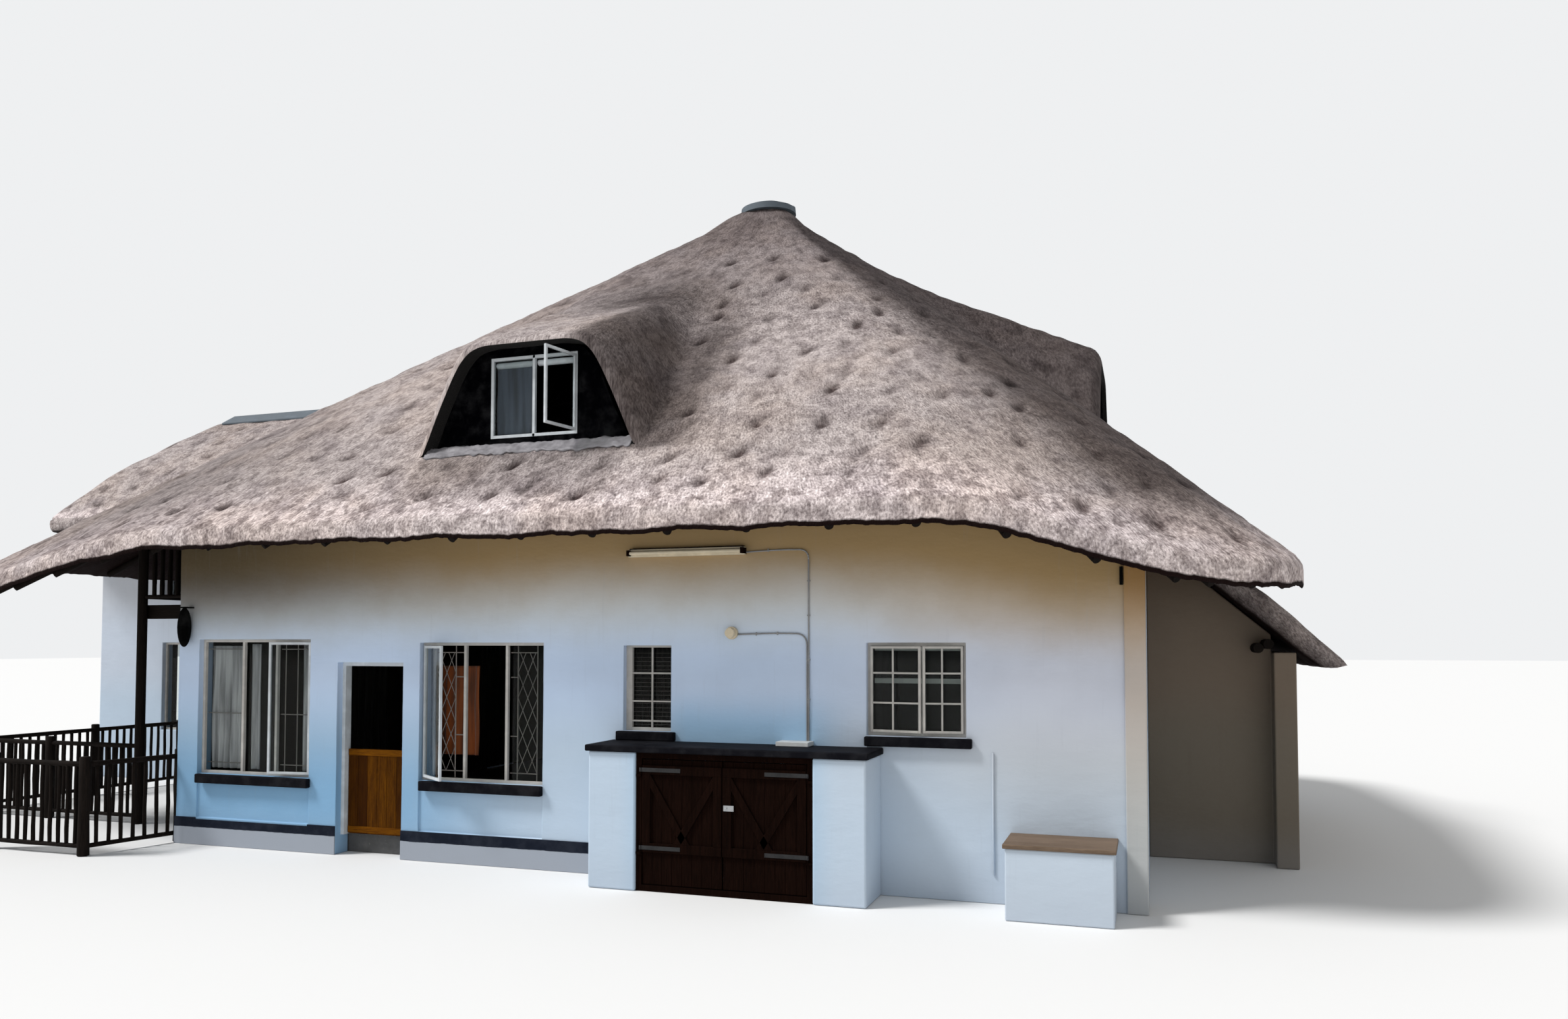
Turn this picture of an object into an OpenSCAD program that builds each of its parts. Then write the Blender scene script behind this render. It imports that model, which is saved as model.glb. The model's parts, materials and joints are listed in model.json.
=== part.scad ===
// Thatched rondavel house: white plastered walls, one swept thatched roof that draws in to a single apex,
// an eyebrow dormer in the front and in the right slope, a wing at each side and a walled store in front.
// The apex stands over the origin, the front faces -Y, and the lowest ground is at z = 0.

/* [House] */
// From the line of the apex to the outer face of the left wall
wall_left = 6050; // [5600:50:7000]
// From the line of the apex to the outer face of the right wall
wall_right = 5430; // [5200:10:6100]
// From the line of the apex to the outer face of the front wall, and the same to the back
wall_front = 5000; // [4850:50:5200]
// Thickness of the outer walls
wall_t = 230; // [150:10:300]
// Floor level above the lowest ground
floor_h = 220; // [150:10:400]
// Upper face of the loft floor
loft_h = 3000; // [2900:10:3200]
// Thickness of the loft floor
loft_t = 150; // [100:10:200]

/* [Roof] */
// Height of the apex
apex_h = 9200; // [8400:50:10000]
// Height of the thatch's upper edge at the middle of the eaves
eave_h = 3800; // [3700:10:4200]
// From the apex line to the eave on the left, over the balcony
eave_left = 10900; // [9800:50:11500]
// From the apex line to the eave on the right
eave_right = 6950; // [6700:50:7400]
// From the apex line to the eave at the front and the back
eave_front = 5800; // [5700:50:6200]
// Thickness of the thatch, measured upright
thatch_t = 240; // [160:10:300]
// How far the eaves sweep down at the corners
corner_drop = 600; // [300:50:800]
// Diameter of the rafter poles
rafter_d = 90; // [60:5:120]
// Distance between the rafter poles along the eaves
rafter_gap = 850; // [700:50:1200]

/* [Dormers] */
// Width of a dormer's face at its foot
dormer_w = 2620; // [2200:20:3000]
// Height of the front dormer's face
dormer_h = 1140; // [1000:20:1300]
// Height of the right dormer's face
right_dormer_h = 900; // [840:20:1300]
// Height of the front dormer's foot
front_dormer_z = 4750; // [4600:10:4900]
// Middle of the front dormer's foot from the apex line
front_dormer_x = -1320; // [-1800:10:-900]
// Height of the right dormer's foot
right_dormer_z = 5390; // [5200:10:5600]

/* [Openings] */
// Width of the stable door's opening
door_w = 920; // [800:10:1100]
// Height of the stable door's opening
door_h = 2030; // [1950:10:2100]
// Height of the lower leaf of the stable door
lower_leaf_h = 1010; // [900:10:1150]
// Thickness of the window sills
sill_t = 110; // [80:5:140]

/* [Store] */
// Depth of the store in front of the wall
store_depth = 600; // [500:10:900]
// Width of each store pier
store_pier_w = 525; // [400:5:600]
// Width of the opening between the piers
store_open_w = 1860; // [1600:20:2200]
// Height of the store's piers
store_h = 1380; // [1200:10:1480]

/* [Balcony] */
// Width of the balcony beside the left wall
balcony_w = 1750; // [1500:10:2400]
// Length of the balcony from the wing's front wall
balcony_l = 3800; // [3000:50:4200]
// Diameter of the balcony posts
post_d = 125; // [100:5:160]
// Diameter of the balusters
baluster_d = 45; // [30:5:60]

/* [Wings] */
// Width of the lean-to room on the right, over its side wall
lean_to_w = 1560; // [1200:10:1900]
// Length of the lean-to room
lean_to_l = 5100; // [4000:50:6000]
// Length of the rear left wing from the house's left wall
wing_l = 7100; // [6600:50:8000]
// Width of the rear left wing
wing_w = 4400; // [4000:50:4800]
// Height of the rear left wing's ridge
wing_ridge_h = 7050; // [6600:50:7400]
// Height of the upper thatch edge of the rear left wing
wing_eave_h = 4750; // [4600:50:5000]

/* [Hidden] */

// Clearances: between fixed pieces, round moving leaves, round hinge pins, and under the thatch
fit = 0.3;
gap = 7;
pin_gap = 0.4;
seat = 0.95;
body_foot = 1500;

// How square the roof is in plan at the apex and at the eaves, and where along a side its sweep down starts
apex_squareness = 2.6;
eave_squareness = 7.2;
droop_from = 0.5;
droop_full = 0.9;
// The right end sweeps down from its middle on
end_droop_from = -0.2;
rings = 12;
top_t = 0.004;
under_out = 1.03;

dark = [0.09, 0.075, 0.07];
pole_brown = [0.2, 0.14, 0.1];
plaster = [0.93, 0.94, 0.95];
thatch_grey = [0.55, 0.5, 0.48];
frame_white = [0.88, 0.9, 0.92];
varnish = [0.72, 0.42, 0.14];
slab_black = [0.1, 0.1, 0.12];
glass_tint = [0.6, 0.7, 0.75, 0.5];

// Window openings of the front wall: left edge, right edge, lower edge, upper edge
left_win = [-5730, -4030, 870, 2520];
middle_win = [-2480, -870, 910, 2480];
small_win = [110, 665, 1540, 2450];
right_win = [2785, 3775, 1560, 2480];
door_x = -3630;

frame_w = 35;
frame_t = 40;
frame_in = 70;
sash_w = 30;
sash_t = 28;
glass_t = 4;

inner_left = wall_left - wall_t;
inner_right = wall_right - wall_t;
inner_front = wall_front - wall_t;
pole_r = rafter_d / 2;

// Shape of the roof: a is the direction in plan, t runs from 0 at the apex to 1 at the eave
function smooth(v) = let(c = min(max(v, 0), 1)) c * c * (3 - 2 * c);
function half_x(a) = cos(a) > 0 ? eave_right : eave_left;
function squareness(t) = apex_squareness + (eave_squareness - apex_squareness) * min(t, 1);
function plan_r(a, n) = pow(pow(abs(cos(a)) / half_x(a), n) + pow(abs(sin(a)) / eave_front, n), -1 / n);
function corner(a) = let(r = plan_r(a, eave_squareness))
    min(r * abs(cos(a)) / half_x(a), r * abs(sin(a)) / eave_front);
function droop_start(a) =
    cos(a) > 0 && cos(a) / eave_right > abs(sin(a)) / eave_front ? end_droop_from : droop_from;
function droop(a) = let(from = droop_start(a)) corner_drop * smooth((corner(a) - from) / (droop_full - from));
function roof_z(a, t) = apex_h - (apex_h - eave_h) * t - droop(a) * t * t;
function roof_rho(a, t) = plan_r(a, squareness(t)) * t;
function roof_pt(a, t, down) = let(r = roof_rho(a, t)) [r * cos(a), r * sin(a), roof_z(a, t) - down];
function find_t(a, rho, t, steps) =
    steps == 0 ? t : find_t(a, rho, rho / plan_r(a, squareness(t)), steps - 1);
function t_at(a, rho) = find_t(a, rho, rho / plan_r(a, eave_squareness), 8);
function under_z(x, y) = let(a = atan2(y, x)) roof_z(a, t_at(a, norm([x, y]))) - thatch_t;

// Places on the eaves that the rafters run to, clockwise seen from above
rafter_first = -750;
n_right = floor((eave_right - 350 - rafter_first) / rafter_gap);
n_left = floor((eave_left - 350 + rafter_first) / rafter_gap);
n_side = floor((eave_front - 200) / rafter_gap - 0.5);
right_last = (rafter_first + n_right * rafter_gap + eave_right) / 2;
left_last = (rafter_first - n_left * rafter_gap - eave_left) / 2;
function side_spots(x, way) = [for (k = [-n_side - 1 : n_side]) [x, way * (k + 0.5) * rafter_gap]];
function long_spots(y) = concat([[left_last, y]],
    [for (k = [-n_left : n_right]) [rafter_first + k * rafter_gap, y]], [[right_last, y]]);
function backwards(list) = [for (k = [len(list) - 1 : -1 : 0]) list[k]];
spots = concat(side_spots(eave_right, -1), backwards(long_spots(-eave_front)),
    side_spots(-eave_left, 1), long_spots(eave_front));
spokes = [for (p = spots) atan2(p.y, p.x)];

// A closed solid through rings of points, each ring with the same number of points
module ring_loft(list) {
    n = len(list[0]);
    m = len(list);
    points = [for (r = list) each r];
    sides = [for (k = [0 : m - 2], i = [0 : n - 1])
        let(j = (i + 1) % n, a = k * n + i, b = k * n + j)
        each [[a, a + n, b + n], [a, b + n, b]]];
    first = [for (i = [0 : n - 1]) i];
    last = [for (i = [0 : n - 1]) m * n - 1 - i];
    polyhedron(points, concat([first], sides, [last]));
}

// The body under a surface that follows the roof, from the apex out to t_out
function ring_t(k, t_out) = top_t + (t_out - top_t) * k / rings;
module roof_body(t_out, down, base_z) {
    slope_rings = [for (k = [0 : rings]) [for (a = spokes) roof_pt(a, ring_t(k, t_out), down)]];
    foot = [for (a = spokes) let(p = roof_pt(a, t_out, down)) [p.x, p.y, base_z]];
    ring_loft(concat(slope_rings, [foot]));
}

module block(x0, x1, y0, y1, z0, z1) translate([x0, y0, z0]) cube([x1 - x0, y1 - y0, z1 - z0]);
module prism_xz(points, y0, y1) translate([0, y1, 0]) rotate([90, 0, 0]) linear_extrude(height = y1 - y0)
    polygon(points);
module prism_yz(points, x0, x1) translate([x0, 0, 0]) rotate([90, 0, 90]) linear_extrude(height = x1 - x0)
    polygon(points);
module rod(p, q, r) {
    v = q - p;
    l = norm(v);
    translate(p) rotate([0, acos(v.z / l), atan2(v.y, v.x)]) cylinder(h = l, r = r, $fn = 24);
}

// Rafters: straight poles under the grid lines of the thatch, laid so that they just clear it.
// A rafter is [direction, plan distance and height of its upper end, the same of its lower end]
tail_t = 0.985;
function under_line(a) =
    [for (k = [0 : rings]) let(t = ring_t(k, under_out)) [roof_rho(a, t), roof_z(a, t) - thatch_t]];
under_lines = [for (a = spokes) under_line(a)];
// How steeply the underside falls from a point of grid line i towards the grid line beside it
function fall(i, way, rho, z) = let(
    j = (i + way + len(spokes)) % len(spokes),
    turn = spokes[j] - spokes[i])
    (z - lookup(rho / cos(turn), under_lines[j])) / (rho * abs(tan(turn)));
// The same for the facet beside grid line i between rings k and k + 1
function facet_fall(i, way, k) = let(
    j = (i + way + len(spokes)) % len(spokes),
    turn = spokes[j] - spokes[i],
    p = under_lines[i][k], q = under_lines[i][k + 1],
    far = under_lines[j][way > 0 ? k + 1 : k],
    level = p[1] + (q[1] - p[1]) / (q[0] - p[0]) * (far[0] * cos(turn) - p[0]))
    (level - far[1]) / (far[0] * abs(sin(turn)));
function rafter(i, first) = let(
    a = spokes[i], line = under_lines[i],
    r0 = line[first][0], z0 = line[first][1],
    r1 = roof_rho(a, tail_t), z1 = lookup(r1, line),
    slope = (z1 - z0) / (r1 - r0),
    r_tip = r1 - pole_r * slope / norm([1, slope]),
    tip = [r_tip, lookup(r_tip, line)],
    rise = max([for (k = [first : rings - 1], q = [line[k], k < rings - 1 ? line[k + 1] : tip])
        z0 + slope * (q[0] - r0) - q[1] + pole_r * norm([1, slope, max(0,
            fall(i, 1, q[0], q[1]), fall(i, -1, q[0], q[1]), facet_fall(i, 1, k), facet_fall(i, -1, k))])])
        + seat)
    [a, r0, z0 - rise, r1, z1 - rise];
poles = [for (i = [0 : len(spokes) - 1]) rafter(i, i % 2 == 0 ? 2 : 6)];
function axis_z(p, rho) = p[2] + (p[4] - p[2]) * (rho - p[1]) / (p[3] - p[1]);
function rafter_at(p, rho) = [rho * cos(p[0]), rho * sin(p[0]), axis_z(p, rho)];

// Upper edge of a wall: it follows the underside of the thatch, and the rafters are let into it
wall_slack = 20;
corner_slack = 60;
function crossing(p, side) = let(lead = side[0] * cos(p[0]) + side[1] * sin(p[0]))
    lead > 0.05 ? side[2] / lead : 1e9;
function along(p, side) = crossing(p, side) * (side[0] != 0 ? sin(p[0]) : cos(p[0]));
function meets(p, side, lo, hi) =
    crossing(p, side) < p[3] && along(p, side) > lo + 20 && along(p, side) < hi - 20;
function by_place(list) = len(list) <= 1 ? list : let(pivot = list[floor(len(list) / 2)][0])
    concat(by_place([for (q = list) if (q[0] < pivot) q]), [for (q = list) if (q[0] == pivot) q],
        by_place([for (q = list) if (q[0] > pivot) q]));
function end_z(side, v) = (side[0] != 0 ? under_z(side[0] * side[2], v) : under_z(v, side[1] * side[2]))
    - corner_slack;
function wall_top(side, lo, hi) = concat([[lo, end_z(side, lo)]],
    by_place([for (p = poles) if (meets(p, side, lo, hi))
        [along(p, side), lookup(crossing(p, side), under_line(p[0])) - wall_slack]]),
    [[hi, end_z(side, hi)]]);
module rafter_beds(side, lo, hi) for (p = poles)
    if (crossing(p, side) < p[3] && along(p, side) > lo && along(p, side) < hi)
    rod(rafter_at(p, crossing(p, side) - 700), rafter_at(p, crossing(p, side) + 400), pole_r + fit);
front_side = [0, -1, wall_front];
back_side = [0, 1, wall_front];
left_side = [-1, 0, wall_left];
right_side = [1, 0, wall_right];

module front_wall_part(x0, x1, z0) difference() {
    intersection() {
        prism_xz(concat([[wall_right, 0], [-wall_left, 0]], wall_top(front_side, -wall_left, wall_right)),
            -wall_front, -inner_front);
        block(x0, x1, -wall_front - 1, -inner_front + 1, z0, apex_h);
    }
    rafter_beds(front_side, x0 - 900, x1 + 900);
}
module window_cut(w) block(w[0], w[1], -wall_front - 50, -inner_front + 50, w[2], w[3]);
recess = 20;
module panel_recess(w) block(w[0], w[1], -wall_front - 50, -wall_front + recess, floor_h + skirt_h, w[2]);
skirt_h = 110;
skirt_t = 15;

module floor_slab() color(slab_black) {
    block(-inner_left, inner_right, -inner_front, inner_front, 0, floor_h);
    block(wing_x_end + wall_t, -wall_left, wing_y0 + wall_t, wing_y1 - wall_t, 0, floor_h);
}

module front_wall_left() color(plaster) difference() {
    front_wall_part(-wall_left, door_x, 0);
    window_cut(left_win);
    panel_recess(left_win);
}
module front_wall_over_door() color(plaster) front_wall_part(door_x, door_x + door_w, floor_h + door_h);
module front_wall_right() color(plaster) difference() {
    front_wall_part(door_x + door_w, wall_right, 0);
    window_cut(middle_win);
    window_cut(small_win);
    window_cut(right_win);
    panel_recess(middle_win);
}

// Openings of the walls that the front doesn't show: from, to, lower edge, upper edge, along the wall
verandah_door = [-2700, -1500, floor_h, floor_h + 2030];
balcony_door = [-2600, -1700, loft_h, loft_h + 1950];
back_wins = [[-4600, -3000, 900, 2480], [-800, 800, 900, 2480], [2600, 3600, 1560, 2480]];
side_win = [-3900, -2900, 1560, 2480];
wing_y = 2000;
wing_out = 600;
wing_x_end = -wall_left - wing_l;
wing_y0 = wing_y - wing_w / 2;
wing_y1 = wing_y + wing_w / 2;
wing_ridge_x = wing_x_end + 900;
wing_levels = 4;
wing_belly = 0.08;
wing_wins = [for (x = [1500, 4300], z = [[900, 2480], [3300, 4200]])
    [wing_x_end + x, wing_x_end + x + 1400, z[0], z[1]]];
wing_end_win = [wing_y - 700, wing_y + 700, 900, 2480];
inner_doorway = [-1200, -400, floor_h, floor_h + 1900];
wing_doorway = [1400, 2300, floor_h, floor_h + 2030];

module side_wall(side, x0, x1) difference() {
    top = wall_top(side, -inner_front, inner_front);
    prism_yz(concat([[inner_front, 0], [-inner_front, 0]], top), x0, x1);
    rafter_beds(side, -inner_front - 900, inner_front + 900);
}
module side_cut(x0, x1, o) block(x0 - 50, x1 + 50, o[0], o[1], o[2], o[3]);
module left_wall() color(plaster) difference() {
    side_wall(left_side, -wall_left, -inner_left);
    side_cut(-wall_left, -inner_left, verandah_door);
    side_cut(-wall_left, -inner_left, balcony_door);
    side_cut(-wall_left, -inner_left, wing_doorway);
}
module right_wall() color(plaster) difference() {
    side_wall(right_side, inner_right, wall_right);
    side_cut(inner_right, wall_right, side_win);
    side_cut(inner_right, wall_right, inner_doorway);
}
module back_wall() color(plaster) difference() {
    prism_xz(concat([[wall_right, 0], [-wall_left, 0]], wall_top(back_side, -wall_left, wall_right)),
        inner_front, wall_front);
    for (w = back_wins) block(w[0], w[1], inner_front - 50, wall_front + 50, w[2], w[3]);
    rafter_beds(back_side, -wall_left - 900, wall_right + 900);
}
module loft_floor() color(pole_brown)
    block(-inner_left, inner_right, -inner_front, inner_front, loft_h - loft_t, loft_h);

// A narrow pier that stands proud of the front wall at its right corner
pilaster_w = 190;
pilaster_t = 25;
pilaster_h = 3250;
module corner_pilaster() color(plaster)
    block(wall_right - pilaster_w, wall_right, -wall_front - pilaster_t, -wall_front, 0, pilaster_h);

module wall_skirting() color(slab_black) {
    y0 = -wall_front - skirt_t;
    block(-wall_left - skirt_t, left_win[0], y0, -wall_front, 0, floor_h + skirt_h);
    block(left_win[0], left_win[1], y0, -wall_front, 0, floor_h + skirt_h - 20);
    block(left_win[1], door_x, y0, -wall_front, 0, floor_h + skirt_h);
    block(door_x + door_w, store_x0, y0, -wall_front, 0, floor_h + skirt_h);
}

// Dark sills stand proud of the wall under each window
sill_out = 70;
sill_side = 60;
function sill_low(w) = w[1] < store_x0 ? w[2] - sill_t : max(w[2] - sill_t, store_h + slab_t + fit);
module window_sills() color(slab_black) {
    for (w = [left_win, middle_win, small_win, right_win])
        block(w[0] - sill_side, w[1] + sill_side, -wall_front - sill_out, -wall_front, sill_low(w), w[2]);
    for (w = back_wins)
        block(w[0] - sill_side, w[1] + sill_side, wall_front, wall_front + sill_out, w[2] - sill_t, w[2]);
}

// A steel frame in its opening: uprights at the given places, and bars across at the given heights
module frame_bars(w, uprights, crossings, y0, y1) {
    block(w[0], w[0] + frame_w, y0, y1, w[2], w[3]);
    block(w[1] - frame_w, w[1], y0, y1, w[2], w[3]);
    block(w[0] + frame_w, w[1] - frame_w, y0, y1, w[2], w[2] + frame_w);
    block(w[0] + frame_w, w[1] - frame_w, y0, y1, w[3] - frame_w, w[3]);
    for (u = uprights) block(u - frame_w / 2, u + frame_w / 2, y0, y1, w[2] + frame_w, w[3] - frame_w);
    for (h = crossings) block(w[0] + frame_w, w[1] - frame_w, y0 + 8, y1 - 8, h - 10, h + 10);
}
function share(w, f) = w[0] + (w[1] - w[0]) * f;
function shut(w, f) = w[2] + (w[3] - w[2]) * f;
frame_y0 = -wall_front + frame_in;
frame_y1 = frame_y0 + frame_t;
left_posts = [share(left_win, 0.37), share(left_win, 0.67)];
middle_posts = [share(middle_win, 0.31), share(middle_win, 0.72)];
module left_window_frame() color(frame_white) frame_bars(left_win, left_posts, [], frame_y0, frame_y1);
module middle_window_frame() color(frame_white) frame_bars(middle_win, middle_posts, [], frame_y0, frame_y1);
// Glazing bars of the two small windows, as shares of the width and of the height
small_bars = [0.11, 0.34, 0.69];
right_bars = [0.38, 0.7];
right_posts = [0.24, 0.53, 0.77];
module small_window_frame() color(frame_white)
    frame_bars(small_win, [share(small_win, 0.5)], [for (f = small_bars) shut(small_win, f)], frame_y0,
        frame_y1);
module right_window_frame() color(frame_white)
    frame_bars(right_win, [for (f = right_posts) share(right_win, f)],
        [for (f = right_bars) shut(right_win, f)], frame_y0, frame_y1);
module rear_window_frames() color(frame_white) {
    for (w = back_wins) frame_bars(w, [share(w, 0.5)], [], inner_front + frame_in,
        inner_front + frame_in + frame_t);
    rotate([0, 0, 90]) frame_bars(side_win, [share(side_win, 0.5)], [], -wall_right + frame_in,
        -wall_right + frame_in + frame_t);
    mirror([1, 0, 0]) rotate([0, 0, 90]) {
        for (w = [verandah_door, balcony_door])
            frame_bars(w, [share(w, 0.5)], [], -wall_left + frame_in, -wall_left + frame_in + frame_t);
        frame_bars(wing_end_win, [wing_y], [], wing_x_end + frame_in, wing_x_end + frame_in + frame_t);
    }
    for (w = wing_wins) {
        frame_bars(w, [share(w, 0.5)], [], wing_y0 + frame_in, wing_y0 + frame_in + frame_t);
        frame_bars(w, [share(w, 0.5)], [], wing_y1 - frame_in - frame_t, wing_y1 - frame_in);
    }
}

// Casements that stand open: a frame turned about its outer edge
module sash(x, y, z0, z1, w, angle, hand) {
    translate([x, y - fit, 0]) rotate([0, 0, angle]) mirror([hand, 0, 0]) {
        block(0, sash_w, -sash_t, 0, z0, z1);
        block(w - sash_w, w, -sash_t, 0, z0, z1);
        block(sash_w, w - sash_w, -sash_t, 0, z0, z0 + sash_w);
        block(sash_w, w - sash_w, -sash_t, 0, z1 - sash_w, z1);
        block(sash_w, w - sash_w, -sash_t / 2 - glass_t / 2, -sash_t / 2 + glass_t / 2, z0 + sash_w,
            z1 - sash_w);
    }
}
module open_sashes() color(frame_white) {
    sash(left_win[1] - frame_w, frame_y0, left_win[2] + frame_w, left_win[3] - frame_w,
        left_win[1] - left_posts[1], 24, 1);
    sash(middle_win[0] + frame_w, frame_y0, middle_win[2] + frame_w, middle_win[3] - frame_w,
        middle_posts[0] - middle_win[0], -35, 0);
}

module pane(w, y) block(w[0] + frame_w, w[1] - frame_w, y - glass_t / 2, y + glass_t / 2, w[2] + frame_w,
    w[3] - frame_w);
module window_glass() color(glass_tint) {
    back_y = inner_front + frame_in + frame_t + glass_t / 2 + fit;
    front_y = frame_y1 + glass_t / 2 + fit;
    pane([left_win[0], left_posts[1], left_win[2], left_win[3]], front_y);
    pane([middle_posts[1] - frame_w, middle_win[1], middle_win[2], middle_win[3]], front_y);
    pane(small_win, front_y);
    pane(right_win, front_y);
    for (w = back_wins) pane(w, back_y);
    rotate([0, 0, 90]) pane(side_win, -wall_right + frame_in + frame_t + glass_t / 2 + fit);
    mirror([1, 0, 0]) rotate([0, 0, 90]) {
        for (w = [verandah_door, balcony_door]) pane(w, -wall_left + frame_in + frame_t + glass_t / 2 + fit);
        pane(wing_end_win, wing_x_end + frame_in + frame_t + glass_t / 2 + fit);
    }
    for (w = wing_wins) {
        pane(w, wing_y0 + frame_in + frame_t + glass_t / 2 + fit);
        pane(w, wing_y1 - frame_in - frame_t - glass_t / 2 - fit);
    }
}

// Stable door: the leaves hang at the right on the inner side of the frame and open inwards
jamb_w = 45;
jamb_y0 = -wall_front + 90;
jamb_y1 = -wall_front + 190;
leaf_t = 40;
leaf_y0 = jamb_y1 - leaf_t;
leaf_x0 = door_x + jamb_w + gap;
leaf_x1 = door_x + door_w - jamb_w - gap;
leaf_z0 = floor_h + 10;
leaf_split = floor_h + lower_leaf_h;
hinge_x = leaf_x1 + gap / 2;
hinge_y = jamb_y1 + 12;
hinge_pin_r = 6;
hinge_eye_r = 11;
strap_t = 5;
strap_h = 40;
strap_l = 300;
lower_hinges = [leaf_z0 + 150, leaf_split - 160];
upper_hinges = [leaf_split + 130, floor_h + door_h - 190];
module door_frame() color(frame_white) {
    top = floor_h + door_h;
    difference() {
        block(door_x, door_x + door_w, jamb_y0, jamb_y1, floor_h, top);
        block(door_x + jamb_w, door_x + door_w - jamb_w, jamb_y0 - 1, jamb_y1 + 1, floor_h - 1, top - jamb_w);
    }
    for (z = concat(lower_hinges, upper_hinges)) {
        translate([hinge_x, hinge_y, z - 60]) cylinder(h = 120, r = hinge_pin_r, $fn = 24);
        block(hinge_x, door_x + door_w - 10, jamb_y1, hinge_y, z - 60, z - 30);
    }
}
// A ledged door leaf: boards with ledges across, in its shut place
module leaf_boards(x0, x1, y0, y1, z0, z1, n, groove) {
    w = (x1 - x0) / n;
    difference() {
        block(x0, x1, y0, y1, z0, z1);
        for (k = [1 : n - 1]) {
            block(x0 + k * w - groove / 2, x0 + k * w + groove / 2, y0 - 1, y0 + groove, z0 - 1, z1 + 1);
            block(x0 + k * w - groove / 2, x0 + k * w + groove / 2, y1 - groove, y1 + 1, z0 - 1, z1 + 1);
        }
    }
}
module hinge_strap(x, y, z, length) {
    difference() {
        union() {
            translate([x, y, z - strap_h / 2 + 10]) cylinder(h = strap_h, r = hinge_eye_r, $fn = 24);
            block(x - length, x, jamb_y1, jamb_y1 + strap_t, z - strap_h / 2 + 10, z + strap_h / 2 + 10);
        }
        translate([x, y, z - 80]) cylinder(h = 160, r = hinge_pin_r + pin_gap, $fn = 24);
    }
}
module stable_door_lower() color(varnish) {
    leaf_boards(leaf_x0, leaf_x1, leaf_y0, jamb_y1, leaf_z0, leaf_split - gap, 6, 6);
    for (z = lower_hinges) hinge_strap(hinge_x, hinge_y, z, strap_l);
}
upper_open = -88;
module stable_door_upper() color(varnish)
    translate([hinge_x, hinge_y, 0]) rotate([0, 0, upper_open]) translate([-hinge_x, -hinge_y, 0]) {
        leaf_boards(leaf_x0, leaf_x1, leaf_y0, jamb_y1, leaf_split, floor_h + door_h - jamb_w - gap, 6, 6);
        for (z = upper_hinges) hinge_strap(hinge_x, hinge_y, z, strap_l);
    }

// Thatch: one skin over the house, cut by the dormers and by the rear left wing, and laid in six bays.
// A bay runs from one rafter to another, clockwise
right_bay = [70, 82];
front_right_bay = [10, 22];
front_bay = [22, 27];
left_bay = [27, 40];
back_left_bay = [40, 58];
back_right_bay = [58, 70];
bay_reach = 20000;
hood_out = 170;
hood_rise = 0.45;
hood_front = 170;
hood_steps = 4;
// How deep the foot of each face stands in the slope, which also gives the face its place
front_bite = 74;
right_bite = 57;
function slope_run(reach, z) = reach * (apex_h - z) / (apex_h - eave_h);
front_face_y = -slope_run(eave_front, front_dormer_z + front_bite);
right_face_x = slope_run(eave_right, right_dormer_z + right_bite);
right_dormer_y = 300;
// Outline of a dormer across its width, grown by g: each side climbs from its foot and rounds over.
// The side's points count from the end of the foot, the top's from the end of the flat part and down
arch_flat = 0.27;
arch_side = [[0, 60], [160, 360]];
arch_top = [[230, 260], [60, 70], [-160, 0]];
function arch_half(g, lift, h) = concat(
    [for (q = arch_side) [dormer_w / 2 + g - q.x, q.y + lift]],
    [for (q = arch_top) [dormer_w * arch_flat + g + q.x, h + g - q.y + lift]]);
function dormer_arch(g, lift, foot, h) = let(half = arch_half(g, lift, h))
    concat([[dormer_w / 2 + g, foot]], half, [for (q = backwards(half)) [-q.x, q.y]],
        [[-dormer_w / 2 - g, foot]]);
module arch_slice(y, g, lift, foot, h) translate([0, y, 0]) rotate([90, 0, 0])
    linear_extrude(height = 1, center = true) polygon(dormer_arch(g, lift, foot, h));
module dormer_run(g, y0, y1, foot, h) {
    for (k = [0 : hood_steps - 1]) {
        a = y0 + (y1 - y0) * k / hood_steps;
        b = y0 + (y1 - y0) * (k + 1) / hood_steps;
        hull() {
            arch_slice(a, g, max(a, 0) * hood_rise, foot, h);
            arch_slice(b, g, max(b, 0) * hood_rise, foot, h);
        }
    }
}
module at_front_dormer() translate([front_dormer_x, front_face_y, front_dormer_z]) children();
module at_right_dormer() translate([right_face_x, right_dormer_y, right_dormer_z]) rotate([0, 0, 90])
    children();
hood_back = 3600;
hood_deep = 900;
module dormer_outer(h) dormer_run(hood_out, -hood_front, hood_back, -hood_deep, h);
module dormer_inner(h) dormer_run(0, -hood_deep, hood_back - 200, 0, h);

// Rear left wing: a hipped roof with a short ridge, bellied between ridge and eaves
wing_top = 60;
wing_round = 200;
wing_join_x = -3000;
function wing_reach(f, side) = side * (f + wing_belly * sin(180 * f)) + wing_top;
module wing_slice(f, down, spread) {
    half = wing_reach(f, wing_w / 2 + wing_out) + spread;
    x0 = wing_ridge_x - wing_reach(f, wing_ridge_x - wing_x_end + wing_out) - spread;
    c = wing_round * f;
    translate([0, wing_y, wing_ridge_h - (wing_ridge_h - wing_eave_h) * f - down]) linear_extrude(height = 1)
        polygon([[x0 + c, -half], [x0, -half + c], [x0, half - c], [x0 + c, half],
            [wing_join_x, half], [wing_join_x, -half]]);
}
module wing_run(down, spread) for (k = [0 : wing_levels - 1]) hull() {
    wing_slice(k / wing_levels, down, spread);
    wing_slice((k + 1) / wing_levels, down, spread);
}
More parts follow.
